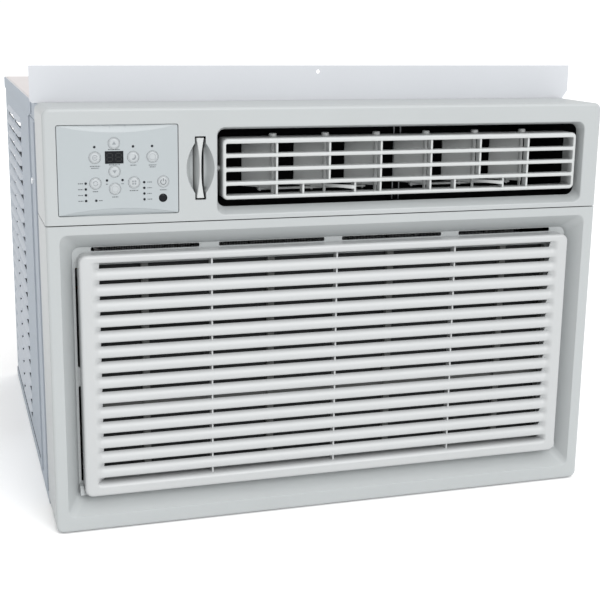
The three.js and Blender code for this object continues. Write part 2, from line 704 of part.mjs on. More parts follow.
// ---------- cold side ----------
// Fin pack between two end plates, with the return bends that join the tube rows.
function coil(x0, x1, y0, y1, z0, z1, bends, bendR) {
  let pack = box(x0, x1, y0, y1, z0, z1);
  const grooves = [];
  const count = 12;
  for (let i = 1; i < count; i += 1) {
    const x = x0 + ((x1 - x0) * i) / count;
    grooves.push(box(x - 1, x + 1, y0 - 1, y0 + 3, z0 - 1, z1 + 1));
    grooves.push(box(x - 1, x + 1, y1 - 3, y1 + 1, z0 - 1, z1 + 1));
  }
  pack = pack.subtract(union(grooves));
  const parts = [pack];
  for (const x of [x0 - 1.5, x1]) {
    parts.push(box(x, x + 1.5, y0 - 2, y1 + 2, z0 - 2, z1 + 2));
  }
  const pitch = (z1 - z0) / bends;
  for (let i = 0; i < bends; i += 1) {
    const zc = z0 + pitch * (i + 0.5);
    const ym = (y0 + y1) / 2;
    for (const side of [-1, 1]) {
      const x = side > 0 ? x1 : x0;
      parts.push(tube([
        [x, ym, zc - bendR], [x + side * 8, ym, zc - bendR], [x + side * 18, ym, zc],
        [x + side * 8, ym, zc + bendR], [x, ym, zc + bendR],
      ], 4.2, 6));
    }
  }
  return union(parts);
}

function drainPan() {
  const tray = box(-306, 306, 70, 134, PAN_REST_Z, 24);
  return tray.subtract(box(-303, 303, 73, 131, PAN_REST_Z + 3, 26));
}

function airPartition() {
  const y = PARTITION_Y;
  let body = box(-326, 326, y, y + 2, PAN_REST_Z, SLEEVE_TOP_Z - 2.2);
  body = body.subtract(rod('y', FAN_X, FAN_Z, 12, y - 1, y + 3, 16));
  body = body.subtract(box(VENT_X - 14, VENT_X + 14, y - 1, y + 3, 400, 456));
  body = body.subtract(box(-326, -276, y - 1, y + 3, 250, 330));
  return body;
}

function scrollOutline(grow) {
  const points = [];
  const steps = 20;
  for (let i = 0; i <= steps; i += 1) {
    const a = THREE.MathUtils.degToRad(180 + (180 * i) / steps);
    const r = 122 + (14 * i) / steps + grow;
    points.push([FAN_X + r * Math.cos(a), FAN_Z + r * Math.sin(a)]);
  }
  points.push([FAN_X + 136 + grow, 364.6]);
  points.push([FAN_X - 122 - grow, 364.6]);
  return points;
}

function blowerScroll() {
  let body = prismY(scrollOutline(2.5), 150, 238);
  const inner = scrollOutline(0).map(([x, z]) => [x, z > 364 ? z + 2 : z]);
  body = body.subtract(prismY(inner, 152.5, 235.5));
  body = body.subtract(rod('y', FAN_X, FAN_Z, 84, 149, 153, 28));
  body = body.subtract(rod('y', FAN_X, FAN_Z, 12, 230, 240, 16));
  return body;
}

function outletDuct() {
  const x0 = -152;
  const x1 = 321.5;
  let body = box(x0, x1, FACE_WALL + 0.2, 238, 364.8, 471);
  body = body.subtract(box(x0 + 2, x1 - 2, FACE_WALL - 1, 236, 366.8, 469));
  body = body.subtract(box(FAN_X - 121, FAN_X + 135, 153, 235.5, 364, 368));
  body = body.subtract(rod('x', LOUVER_PIVOT_Y, OUTLET_Z, 3.3, x0 - 1, x1 + 1, 14));
  // Clearance beside the finger recess of the fresh air control.
  body = body.subtract(box(x0 - 1, x0 + 6, 0, VENT_DEPTH, 374, 468));
  const guards = GUARD_WIRES.map(([x, y]) => rod('z', x, y, 0.7, 366, 470, 6));
  return union([body, ...guards]);
}

// Forward-curved blower wheel: back plate, hub, blades and front ring.
function blowerWheel() {
  const r = 98;
  const parts = [
    rod('y', FAN_X, FAN_Z, r, 220, 222, 32),
    rod('y', FAN_X, FAN_Z, 14, 196, 222, 16),
    rod('y', FAN_X, FAN_Z, r, 160, 163, 32).subtract(rod('y', FAN_X, FAN_Z, r - 12, 159, 164, 32)),
  ];
  const blades = 24;
  for (let i = 0; i < blades; i += 1) {
    const a = (i / blades) * Math.PI * 2;
    const at = (rr, turn) => [FAN_X + rr * Math.cos(a + turn), FAN_Z + rr * Math.sin(a + turn)];
    parts.push(prismY([at(r - 11, 0), at(r - 1, 0.09), at(r - 1, 0.112), at(r - 11, 0.024)], 162, 221));
  }
  return union(parts).subtract(rod('y', FAN_X, FAN_Z, SHAFT_R + 0.1, 190, 223, 14));
}

// ---------- warm side ----------
function fanMotor() {
  return turned('y', FAN_X, FAN_Z, [
    [SHAFT_R + 0.6, 262], [24, 262], [30, 268], [58, 270], [62, 276], [62, 344], [58, 350], [30, 352],
    [24, 358], [SHAFT_R + 0.6, 358], [SHAFT_R + 0.6, 262],
  ], 20);
}

function motorBracket() {
  const x0 = FAN_X - 70;
  const x1 = FAN_X + 70;
  let body = box(x0, x1, 296, 324, PAN_REST_Z, FAN_Z);
  body = body.subtract(box(x0 + 3, x1 - 3, 290, 330, PAN_REST_Z + 3, FAN_Z - 74));
  body = body.subtract(rod('y', FAN_X, FAN_Z, 63.2, 290, 330, 28));
  return body.add(box(x0, x1, 270, 350, PAN_REST_Z, PAN_REST_Z + 3));
}

function condenserFan() {
  const parts = [
    rod('y', FAN_X, FAN_Z, 34, 512, 536, 24),
    rod('y', FAN_X, FAN_Z, 158, 514, 534, 40).subtract(rod('y', FAN_X, FAN_Z, 155, 513, 535, 40)),
  ];
  const blades = 5;
  for (let i = 0; i < blades; i += 1) {
    const blade = prismX([[-2, -42], [0, -42], [2, 42], [0, 42]], 30, 156.5).rotate([-52, 0, 0]);
    parts.push(blade.rotate([0, (360 * i) / blades, 0]).translate([FAN_X, 524, FAN_Z]));
  }
  const all = union(parts);
  const envelope = rod('y', FAN_X, FAN_Z, 157.9, 500, 548, 40);
  return all.intersect(envelope).subtract(rod('y', FAN_X, FAN_Z, SHAFT_R + 0.1, 490, 560, 14));
}

// Full-width baffle with the fan ring in it, and notches where the tubes pass.
function condenserShroud() {
  const plate = box(-330, 330, 556, 558, 30, SLEEVE_TOP_Z - 3);
  const dischargeNotch = box(-331, -309, 555, 559, 418, 444);
  const capillaryNotch = box(-331, -314, 555, 559, 38, 68);
  const ring = rod('y', FAN_X, FAN_Z, 166, 506, 558, 36);
  const side = box(-306, -304, 556, 572, 30, 446);
  const top = box(-306, 306, 556, 572, 444, 446);
  const body = union([plate, ring, side, mirrorX(side), top]);
  const opening = rod('y', FAN_X, FAN_Z, 163.5, 500, 560, 36);
  return body.subtract(union([opening, dischargeNotch, capillaryNotch]));
}

function compressor() {
  const { x, y, r, z0, z1 } = COMPRESSOR;
  const shell = turned('z', x, y, [
    [0, z0], [r - 16, z0], [r - 4, z0 + 10], [r - 2, z0 + 60], [r, z0 + 64], [r, z1 - 50],
    [r - 6, z1 - 26], [r - 22, z1 - 8], [0, z1],
  ], 20);
  const feet = [];
  for (let i = 0; i < 3; i += 1) {
    const a = THREE.MathUtils.degToRad(90 + 120 * i);
    const arm = box(0, r + 20, -13, 13, z0, z0 + 3).rotate([0, 0, 90 + 120 * i]).translate([x, y, 0]);
    const fx = x + (r + 10) * Math.cos(a);
    const fy = y + (r + 10) * Math.sin(a);
    feet.push(arm.subtract(rod('z', fx, fy, 5, z0 - 1, z0 + 4, 10)));
  }
  const terminal = box(x + r - 10, x + r + 8, y - 16, y + 16, 196, 236);
  return union([shell, ...feet, terminal]);
}

function grommet(i) {
  const { x, y, r, z0 } = COMPRESSOR;
  const a = THREE.MathUtils.degToRad(90 + 120 * i);
  const fx = x + (r + 10) * Math.cos(a);
  const fy = y + (r + 10) * Math.sin(a);
  return rod('z', fx, fy, 10, PAN_REST_Z, z0 - 0.1, 12).add(rod('z', fx, fy, 4.4, z0 - 1, z0 + 8, 8));
}

function accumulator() {
  return turned('z', -292, 386, [
    [0, 120], [8, 120], [20, 134], [20, 236], [8, 250], [0, 250],
  ], 20);
}

function controlBox() {
  const shell = box(-324, -192, 74, 150, 372, 480);
  return shell.subtract(box(-322, -194, 76, 151, 374, 478));
}

function runCapacitor() {
  return rod('z', -226, 114, 22, 374.2, 466, 20).add(rod('z', -226, 114, 3, 465, 474, 8));
}

function cordBushing() {
  const ring = rod('x', 48, 28, 8, 331, 336.3, 18).add(rod('x', 48, 28, 11, 329.5, 333.3, 18));
  return ring.subtract(rod('x', 48, 28, 4.5, 328, 338, 14));
}

// ---------- assembly ----------
place('cabinet_sleeve', cabinetSleeve(), 'steel');
place('base_pan', basePan(), 'galvanised');
place('top_mounting_angle', topAngle(), 'steel');
place('side_rail_left', mirrorX(sideRail()), 'steel');
place('side_rail_right', sideRail(), 'steel');
place('rail_screw_left', mirrorX(railScrew()), 'galvanised');
place('rail_screw_right', railScrew(), 'galvanised');
place('upper_front_panel', upperFrontPanel(), 'plastic');
place('lower_front_panel', lowerFrontPanel(), 'plastic');
place('intake_grille', intakeGrille(), 'plastic');
place('filter_frame', filterFrame(), 'plastic');
place('filter_mesh', box(-292, 292, 31, 31.8, 48, 324), 'mesh');
place('louver_frame', louverFrame(), 'plastic');
for (let i = 0; i < VANE_COUNT; i += 1) {
  place(`vane_${i + 1}`, vane(i), 'plastic');
}
place('vane_link_left', vaneLink(0), 'plastic');
place('vane_link_right', vaneLink(3), 'plastic');
place('control_panel', controlPanel(), 'overlay');
place('display_window', displayWindow(), 'window');
place('ir_lens', irLens(), 'window');
place('light_guide', lightGuide(), 'lamp');
place('control_board', controlBoard(), 'board');
for (const [name, position] of Object.entries(BUTTONS)) {
  place(name, button(position), 'button');
}
place('vent_pull', ventPull(), 'plastic');
place('vent_door', ventDoor(), 'galvanised');
place('evaporator_coil', coil(-268, 268, 76, 124, 26.5, 350, 4, 20), 'fins');
place('drain_pan', drainPan(), 'foam');
place('air_partition', airPartition(), 'galvanised');
place('blower_scroll', blowerScroll(), 'foam');
place('outlet_duct', outletDuct(), 'foam');
place('blower_wheel', blowerWheel(), 'black');
place('fan_shaft', rod('y', FAN_X, FAN_Z, SHAFT_R, 192, 544, 14), 'galvanised');
place('fan_motor', fanMotor(), 'motor');
place('motor_bracket', motorBracket(), 'galvanised');
place('condenser_fan', condenserFan(), 'black');
place('condenser_shroud', condenserShroud(), 'galvanised');
place('condenser_coil', coil(-300, 300, 576, 624, 30.5, 440, 5, 20), 'fins');
place('compressor', compressor(), 'black');
for (let i = 0; i < 3; i += 1) {
  place(`compressor_grommet_${i + 1}`, grommet(i), 'rubber');
}
place('suction_accumulator', accumulator(), 'black');
place('discharge_tube', tube([
  [-196, 400, 302.2], [-196, 400, 340], [-210, 430, 380], [-250, 490, 412], [-312, 530, 430],
  [-322, 574, 431], [-317, 600, 431], [-303, 602, 431],
], 4.5, 18), 'copper');
place('suction_tube', tube([
  [-292, 386, 250.2], [-292, 386, 276], [-294, 350, 300], [-294, 260, 300], [-294, 200, 300],
  [-297, 146, 295], [-290, 120, 292], [-271.5, 118, 292],
], 5.5, 16), 'copper');
place('capillary_tube', tube([
  [-303, 612, 40], [-317, 611, 40], [-322, 590, 44], [-322, 540, 60], [-322, 480, 120],
  [-322, 330, 250], [-320, 260, 268], [-316, 200, 268], [-300, 132, 262], [-288, 118, 262],
  [-271.5, 117, 262],
], 2, 16), 'copper');
place('control_box', controlBox(), 'galvanised');
place('run_capacitor', runCapacitor(), 'motor');
place('cord_bushing', cordBushing(), 'rubber');

const bounds = new THREE.Box3().setFromObject(group);
const centre = bounds.getCenter(new THREE.Vector3());
for (const piece of group.children) {
  piece.geometry.translate(-centre.x, -centre.y, -bounds.min.z);
}

export default group;
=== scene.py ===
"""Looks of the window air conditioner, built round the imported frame.

Lengths inside the shape code are millimetres. x is centred on the unit, y starts at the face of
the moulded front and grows towards the outdoors, and z starts at the underside.
"""
import math
import random

import bmesh
import bpy
from mathutils import Matrix, Vector


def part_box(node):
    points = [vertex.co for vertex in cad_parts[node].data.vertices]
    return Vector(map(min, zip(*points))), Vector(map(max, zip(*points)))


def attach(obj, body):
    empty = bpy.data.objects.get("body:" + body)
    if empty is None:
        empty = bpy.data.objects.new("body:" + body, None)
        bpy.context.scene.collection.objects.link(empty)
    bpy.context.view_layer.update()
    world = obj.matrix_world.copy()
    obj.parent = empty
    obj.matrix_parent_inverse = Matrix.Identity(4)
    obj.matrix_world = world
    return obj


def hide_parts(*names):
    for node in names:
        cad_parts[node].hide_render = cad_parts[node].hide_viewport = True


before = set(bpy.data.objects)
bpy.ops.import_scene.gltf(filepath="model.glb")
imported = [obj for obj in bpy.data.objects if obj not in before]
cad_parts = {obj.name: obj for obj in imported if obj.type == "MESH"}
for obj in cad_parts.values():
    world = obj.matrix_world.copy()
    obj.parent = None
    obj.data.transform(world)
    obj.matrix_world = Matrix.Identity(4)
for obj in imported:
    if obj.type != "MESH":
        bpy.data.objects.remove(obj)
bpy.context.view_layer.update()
random.seed(7)

MM = 0.001
FACE_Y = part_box("upper_front_panel")[0].y

# Driving dimensions, the same as the frame's.
FACE_HALF_W = 336.5
FACE_H = 488.0
FACE_DEPTH = 92.0
FACE_BOTTOM_Z = 0.4
FACE_WALL = 3.0
SEAM_Z = 361.0
SEAM_HALF_GAP = 0.6
REAR_Y = 650.0
SLEEVE_HALF_W = 335.0
SLEEVE_TOP_Z = 487.0
SLEEVE_WALL = 1.8
GRILLE_PIN_Y = 14.5
GRILLE_PIN_Z = 46.7
OUTLET_X = 84.5
OUTLET_Z = 417.7
OUTLET_MOUTH = (-145.2, 314.8, 367.2, 465.4)
OUTLET_THROAT = (-142.0, 311.5, 375.0, 462.0)
OUTLET_LIP_Y = 15.0
LOUVER_HALF_W = 222.5
LOUVER_HALF_H = 34.5
VANE_PITCH = 63.4
VANE_COUNT = 6
VANE_PIVOT_Y = 26.0
VANE_CHORD = 40.0
VANE_ANGLE = 50.0
CRANK = 16.0
LEAD_VANES = (1, 4)
VENT_X = -164.4
VENT_Z = 420.6
BUTTONS = {
    "button_check": (-281.2, 434.9),
    "button_up": (-260.2, 450.2),
    "button_down": (-260.2, 419.4),
    "button_sleep": (-239.4, 434.8),
    "button_energy": (-218.2, 434.8),
    "button_mode": (-281.2, 406.8),
    "button_timer": (-260.0, 400.4),
    "button_fan": (-239.0, 406.8),
    "button_power": (-206.6, 407.0),
}
LAMPS = (
    (-281.4, 446.4), (-239.4, 446.4), (-218.4, 446.4),
    (-291.8, 407.0), (-291.8, 400.6), (-291.8, 394.2), (-291.8, 387.9), (-280.8, 387.9),
    (-227.8, 406.8), (-227.8, 400.5), (-227.8, 394.2), (-227.8, 387.8),
    (-268.6, 409.8), (-251.6, 409.8),
)


# ---------- camera ----------
CAMERA_AT = (-445.7, -1295.9, 592.2)
CAMERA_TURN = (17.124, 13.659, 0.772)  # yaw, pitch and roll in degrees
CAMERA_LENS = 71.31


def build_camera():
    """The viewing position: a little left of the unit, above it and looking down."""
    yaw, pitch, roll = (math.radians(angle) for angle in CAMERA_TURN)
    forward = Vector((math.sin(yaw) * math.cos(pitch), math.cos(yaw) * math.cos(pitch), -math.sin(pitch)))
    level = Vector((math.cos(yaw), -math.sin(yaw), 0))
    upright = level.cross(forward)
    right = level * math.cos(roll) + upright * math.sin(roll)
    up = upright * math.cos(roll) - level * math.sin(roll)
    data = bpy.data.cameras.new("camera")
    data.sensor_width = 36
    data.lens = CAMERA_LENS
    data.clip_end = 50
    camera = bpy.data.objects.new("camera", data)
    bpy.context.scene.collection.objects.link(camera)
    turn = Matrix((right, up, -forward)).transposed()
    camera.matrix_world = Matrix.Translation(point(*CAMERA_AT)) @ turn.to_4x4()
    bpy.context.scene.camera = camera


def point(x, y, z):
    return Vector((x * MM, FACE_Y + y * MM, z * MM))


# ---------- materials ----------
def make_material(name, colour, roughness, metallic=0.0, coat=0.0, tint=0.03, tint_scale=9.0,
                  rough_swing=0.06, grain=1200.0, grain_depth=0.00002, stretch=(1, 1, 1), detail=3.0,
                  specular=0.5):
    """Plain finish with slow colour drift, uneven gloss and a fine surface grain."""
    material = bpy.data.materials.new(name)
    material.use_nodes = True
    nodes, links = material.node_tree.nodes, material.node_tree.links
    shader = nodes["Principled BSDF"]
    shader.inputs["Metallic"].default_value = metallic
    shader.inputs["Coat Weight"].default_value = coat
    shader.inputs["Specular IOR Level"].default_value = specular
    place = nodes.new("ShaderNodeTexCoord")
    mapping = nodes.new("ShaderNodeMapping")
    mapping.inputs["Scale"].default_value = stretch
    links.new(place.outputs["Object"], mapping.inputs["Vector"])
    drift = nodes.new("ShaderNodeTexNoise")
    drift.inputs["Scale"].default_value = tint_scale
    drift.inputs["Detail"].default_value = 4
    links.new(mapping.outputs["Vector"], drift.inputs["Vector"])
    ramp = nodes.new("ShaderNodeValToRGB")
    ramp.color_ramp.elements[0].position = 0.3
    ramp.color_ramp.elements[1].position = 0.7
    ramp.color_ramp.elements[0].color = [c * (1 - tint) for c in colour] + [1]
    ramp.color_ramp.elements[1].color = [min(1, c * (1 + tint)) for c in colour] + [1]
    links.new(drift.outputs["Fac"], ramp.inputs["Fac"])
    links.new(ramp.outputs["Color"], shader.inputs["Base Color"])
    gloss = nodes.new("ShaderNodeMapRange")
    gloss.inputs["To Min"].default_value = max(0.02, roughness - rough_swing)
    gloss.inputs["To Max"].default_value = min(1, roughness + rough_swing)
    links.new(drift.outputs["Fac"], gloss.inputs["Value"])
    links.new(gloss.outputs["Result"], shader.inputs["Roughness"])
    fine = nodes.new("ShaderNodeTexNoise")
    fine.inputs["Scale"].default_value = grain
    fine.inputs["Detail"].default_value = detail
    links.new(mapping.outputs["Vector"], fine.inputs["Vector"])
    bump = nodes.new("ShaderNodeBump")
    bump.inputs["Distance"].default_value = grain_depth
    bump.inputs["Strength"].default_value = 1
    links.new(fine.outputs["Fac"], bump.inputs["Height"])
    links.new(bump.outputs["Normal"], shader.inputs["Normal"])
    return material


def add_pattern(material, kind, scale, low, high, depth=0.0, direction="X", vector_scale=(1, 1, 1)):
    """Multiplies the colour by a wave, spot or weave pattern and adds it to the relief."""
    nodes, links = material.node_tree.nodes, material.node_tree.links
    shader = nodes["Principled BSDF"]
    place = nodes.new("ShaderNodeTexCoord")
    mapping = nodes.new("ShaderNodeMapping")
    mapping.inputs["Scale"].default_value = vector_scale
    links.new(place.outputs["Object"], mapping.inputs["Vector"])
    if kind == "wave":
        texture = nodes.new("ShaderNodeTexWave")
        texture.bands_direction = direction
        value = texture.outputs["Fac"]
    else:
        texture = nodes.new("ShaderNodeTexVoronoi")
        value = texture.outputs["Distance"]
    texture.inputs["Scale"].default_value = scale
    links.new(mapping.outputs["Vector"], texture.inputs["Vector"])
    ramp = nodes.new("ShaderNodeValToRGB")
    ramp.color_ramp.elements[0].color = [low] * 3 + [1]
    ramp.color_ramp.elements[1].color = [high] * 3 + [1]
    links.new(value, ramp.inputs["Fac"])
    mix = nodes.new("ShaderNodeMix")
    mix.data_type = "RGBA"
    mix.blend_type = "MULTIPLY"
    mix.inputs["Factor"].default_value = 1
    colour_link = shader.inputs["Base Color"].links[0]
    links.new(colour_link.from_socket, mix.inputs["A"])
    links.new(ramp.outputs["Color"], mix.inputs["B"])
    links.new(mix.outputs["Result"], shader.inputs["Base Color"])
    if depth:
        bump = nodes.new("ShaderNodeBump")
        bump.inputs["Distance"].default_value = depth
        before = shader.inputs["Normal"].links[0].from_socket
        links.new(before, bump.inputs["Normal"])
        links.new(value, bump.inputs["Height"])
        links.new(bump.outputs["Normal"], shader.inputs["Normal"])
    return material


def build_materials():
    m = {}
    m["plastic"] = make_material("front_plastic", (0.335, 0.353, 0.357), 0.42, tint=0.012)
    m["grille"] = make_material("grille_plastic", (0.378, 0.389, 0.393), 0.36, tint=0.012)
    m["louver"] = make_material("louver_plastic", (0.413, 0.427, 0.427), 0.38, tint=0.012)
    m["filter"] = make_material("filter_plastic", (0.112, 0.116, 0.112), 0.55, tint=0.03)
    # Paler copy of the cabinet paint for the top faces: painted light where the top faces the lamps.
    m["paint_top"] = make_material("cabinet_paint_painted_top_light", (0.44, 0.405, 0.40), 0.42, coat=0.1, tint=0.015,
                                   grain=420, grain_depth=0.00005)
    # Paler copy of the cabinet paint for the louvre hoods: painted highlight on their up-and-out faces.
    m["hood"] = make_material("louvre_paint_painted_highlight", (0.43, 0.46, 0.50), 0.6, tint=0.015,
                              grain=420, grain_depth=0.00005, specular=0.2)
    # Near-black copy of the cabinet paint for the sleeve's inner faces: painted shade of the dark inside.
    m["inside"] = make_material("cabinet_inner_painted_shade", (0.012, 0.012, 0.013), 0.7, tint=0.1, specular=0.15)
    m["paint"] = make_material("cabinet_paint", (0.335, 0.37, 0.41), 0.7, tint=0.015,
                               grain=420, grain_depth=0.00005, specular=0.12)
    m["angle"] = make_material("angle_paint", (0.451, 0.466, 0.49), 0.40, coat=0.15, tint=0.012,
                               grain=420, grain_depth=0.00005)
    # Darkened galvanised steel: painted shade for the dim inside of the cabinet.
    m["galvanised"] = add_pattern(
        make_material("galvanised_steel", (0.27, 0.28, 0.29), 0.45, metallic=0.6, tint=0.05),
        "voronoi", 55, 0.88, 1.08)
    m["overlay"] = make_material("panel_overlay", (0.304, 0.332, 0.344), 0.34, tint=0.01, grain=1800)
    m["button"] = make_material("button_plastic", (0.338, 0.36, 0.371), 0.36, tint=0.01)
    m["mark"] = make_material("printed_mark", (0.07, 0.078, 0.085), 0.5, tint=0.05)
    m["faint_mark"] = make_material("icon_mark", (0.18, 0.196, 0.208), 0.5, tint=0.04)
    m["window"] = make_material("display_gloss", (0.006, 0.007, 0.009), 0.22, tint=0.1, specular=0.12)
    m["segment"] = make_material("display_segment", (0.022, 0.024, 0.024), 0.35, tint=0.1, specular=0.1)
    m["lamp"] = make_material("lamp_pipe", (0.012, 0.014, 0.018), 0.3, tint=0.1, specular=0.12)
    m["board"] = add_pattern(
        make_material("circuit_board", (0.05, 0.20, 0.10), 0.45, coat=0.3, tint=0.1),
        "wave", 260, 0.75, 1.15, 0.00003)
    # Darkened fin aluminium: painted shade on the condenser behind the side louvres.
    m["fins"] = make_material("fin_aluminium", (0.30, 0.31, 0.315), 0.40, metallic=0.6, tint=0.05,
                              stretch=(1, 1, 0.05))
    m["coil_block"] = add_pattern(
        make_material("coil_block_fins", (0.66, 0.68, 0.70), 0.4, metallic=0.85, tint=0.05),
        "wave", 160, 0.35, 1.0, 0.0004)
    # Darkened copper: painted shade for the tubes inside the cabinet.
    m["copper"] = make_material("copper_tube", (0.42, 0.19, 0.10), 0.30, metallic=0.95, tint=0.12,
                                tint_scale=30)
    # Near-black foam for the duct, drain pan and blower scroll: painted shade for the dark inside of the
    # unit.
    m["foam"] = add_pattern(
        make_material("moulded_foam", (0.014, 0.014, 0.016), 0.9, tint=0.02, specular=0.1),
        "voronoi", 330, 0.93, 1.03, 0.0002)
    m["black"] = make_material("black_plastic", (0.018, 0.019, 0.021), 0.42, tint=0.1)
    m["black_paint"] = make_material("black_paint", (0.014, 0.014, 0.016), 0.30, coat=0.4, tint=0.15,
                                     grain=500, grain_depth=0.00008)
    m["motor"] = make_material("motor_metal", (0.42, 0.44, 0.46), 0.38, metallic=0.9, tint=0.06,
                               stretch=(1, 30, 1), grain=300)
    net = make_material("filter_net", (0.02, 0.022, 0.024), 0.7, tint=0.1)
    add_pattern(net, "wave", 300, 0.55, 1.2, 0.0002)
    m["net"] = add_pattern(net, "wave", 300, 0.55, 1.2, 0.0002, direction="Z")
    m["rubber"] = make_material("rubber", (0.018, 0.018, 0.018), 0.75, tint=0.15)
    m["screw"] = make_material("screw_plating", (0.80, 0.81, 0.82), 0.28, metallic=0.9, tint=0.05)
    return m


# ---------- shapes ----------
class Shape:
    """Closed bodies gathered as vertices and faces, before they become one mesh."""

    def __init__(self):
        self.verts = []
        self.faces = []

    def loft(self, rings, caps=True, looped=False):
        """Skin over rings of equal length. The ends are closed by caps, or joined into a loop."""
        base = len(self.verts)
        count = len(rings[0])
        for ring in rings:
            self.verts.extend(ring)
        last = len(rings) if looped else len(rings) - 1
        for r in range(last):
            here = base + r * count
            there = base + ((r + 1) % len(rings)) * count
            for i in range(count):
                j = (i + 1) % count
                self.faces.append((here + i, here + j, there + j, there + i))
        if caps and not looped:
            self.faces.append(tuple(base + i for i in reversed(range(count))))
            end = base + (len(rings) - 1) * count
            self.faces.append(tuple(end + i for i in range(count)))
        return self

    def box(self, x0, x1, y0, y1, z0, z1):
        ring = [(x0, z0), (x1, z0), (x1, z1), (x0, z1)]
        return self.loft([[(x, y, z) for x, z in ring] for y in (y0, y1)])

    def prism(self, axis, outline, start, end):
        """Outline in the other two axes, in x, y, z order, run along the axis."""
        return self.loft([[in_axis(axis, a, b, t) for a, b in outline] for t in (start, end)])

    def turned(self, axis, a, b, profile, segments=32):
        """Profile of (radius, position along the axis), turned about the axis. Radius 0 closes an end."""
        inner = [(r, t) for r, t in profile if r > 0]
        rings = [[in_axis(axis, a + r * c, b + r * s, t) for c, s in circle(segments)] for r, t in inner]
        closed = profile[0][0] == 0
        return self.loft(rings, caps=closed, looped=not closed)


def in_axis(axis, a, b, along):
    if axis == "x":
        return (along, a, b)
    if axis == "y":
        return (a, along, b)
    return (a, b, along)


def circle(segments):
    turn = 2 * math.pi / segments
    return [(math.cos(i * turn), math.sin(i * turn)) for i in range(segments)]


def round_rect(x0, x1, z0, z1, radius, steps=6):
    """Outline of a rectangle with rounded corners, as (a, b) pairs."""
    points = []
    corners = ((x1, z1, 0), (x0, z1, 90), (x0, z0, 180), (x1, z0, 270))
    for x, z, start in corners:
        cx = x - radius if x == x1 else x + radius
        cz = z - radius if z == z1 else z + radius
        for i in range(steps + 1):
            angle = math.radians(start + 90 * i / steps)
            points.append((cx + radius * math.cos(angle), cz + radius * math.sin(angle)))
    return points


def rect_ring(x0, x1, z0, z1, radius, y, inset=0.0, steps=6):
    """Rounded rectangle at depth y, drawn in by an inset."""
    outline = round_rect(x0 + inset, x1 - inset, z0 + inset, z1 - inset, max(0.3, radius - inset), steps)
    return [(x, y, z) for x, z in outline]


def fillet(radius, steps):
    """Quarter-round as (inset, depth) pairs from the face to the side."""
    out = []
    for i in range(steps + 1):
        angle = math.pi / 2 * i / steps
        out.append((radius * (1 - math.sin(angle)), radius * (1 - math.cos(angle))))
    return out


def smooth(t):
    t = min(1.0, max(0.0, t))
    return t * t * (3 - 2 * t)


def to_object(shape, name="tool"):
    """A closed mesh object in the row frame, with its faces turned outwards."""
    mesh = bpy.data.meshes.new(name)
    mesh.from_pydata([point(*v) for v in shape.verts], [], shape.faces)
    bm = bmesh.new()
    bm.from_mesh(mesh)
    bmesh.ops.recalc_face_normals(bm, faces=bm.faces)
    bm.to_mesh(mesh)
    bm.free()
    obj = bpy.data.objects.new(name, mesh)
    bpy.context.scene.collection.objects.link(obj)
    return obj


def settle(obj):
    """Turns the object's modifiers into plain mesh."""
    graph = bpy.context.evaluated_depsgraph_get()
    made = bpy.data.meshes.new_from_object(obj.evaluated_get(graph))
    obj.modifiers.clear()
    before = obj.data
    obj.data = made
    bpy.data.meshes.remove(before)


def combine(target, tool, operation):
    """Boolean of the target with a tool shape. The tool is used up."""
    other = tool if isinstance(tool, bpy.types.Object) else to_object(tool)
    modifier = target.modifiers.new("combine", "BOOLEAN")
    modifier.solver = "EXACT"
    modifier.operation = operation
    modifier.object = other
    settle(target)
    bpy.data.objects.remove(other)
    return target


def soften(obj, width, segments=2, angle=32):
    """Rounds the edges sharper than the angle."""
    modifier = obj.modifiers.new("soften", "BEVEL")
    modifier.width = width * MM
    modifier.segments = segments
    modifier.limit_method = "ANGLE"
    modifier.angle_limit = math.radians(angle)
    modifier.harden_normals = False
    modifier.use_clamp_overlap = True
    settle(obj)
    return obj


def finish_piece(obj, name, body, material, replaces=(), sharp=38):
    """Names, shades and paints a piece, and hangs it on its body."""
    obj.name = name
    mesh = obj.data
    mesh.name = name
    mesh.materials.clear()
    mesh.materials.append(material)
    mesh.polygons.foreach_set("material_index", [0] * len(mesh.polygons))
    mesh.shade_smooth()
    mesh.set_sharp_from_angle(angle=math.radians(sharp))
    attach(obj, body)
    if replaces:
        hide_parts(*replaces)
    weighted = obj.modifiers.new("weighted", "WEIGHTED_NORMAL")
    weighted.keep_sharp = True
    return obj


# ---------- moulded front ----------
FASCIA_ROUND = 3.6
FASCIA_CORNER = 9.0


def fascia_solid():
    w = FACE_HALF_W
    rings = [rect_ring(-w, w, FACE_BOTTOM_Z, FACE_H, FASCIA_CORNER, depth, inset)
             for inset, depth in fillet(FASCIA_ROUND, 6)]
    rings.append(rect_ring(-w, w, FACE_BOTTOM_Z, FACE_H, FASCIA_CORNER, FACE_DEPTH))
    shell = to_object(Shape().loft(rings))
    inner = [rect_ring(-w, w, FACE_BOTTOM_Z, FACE_H, FASCIA_CORNER, y, FACE_WALL)
             for y in (FACE_WALL, FACE_DEPTH + 1)]
    return combine(shell, Shape().loft(inner), "DIFFERENCE")


def lens_ring(half_w, half_h, y, steps=14):
    """Two arcs that meet at a point above and below."""
    ring = []
    for side in (1, -1):
        for i in range(steps):
            t = 2 * i / steps - 1
            ring.append((VENT_X + side * half_w * (1 - t * t), y, VENT_Z + side * t * half_h))
    return ring


PANEL = (-322.0, -189.5, 371.5, 470.0)
PANEL_ROUND = 2.0


def panel_outline(grow):
    x0, x1, z0, z1 = PANEL
    return round_rect(x0 - grow, x1 + grow, z0 - grow, z1 + grow, PANEL_ROUND + grow, 4)


def outlet_ring(share, grow, y):
    """Outline of the air outlet, part of the way from its mouth to its throat."""
    x0, x1, z0, z1 = [a + (b - a) * share for a, b in zip(OUTLET_MOUTH, OUTLET_THROAT)]
    return rect_ring(x0, x1, z0, z1, 9, y, -grow)


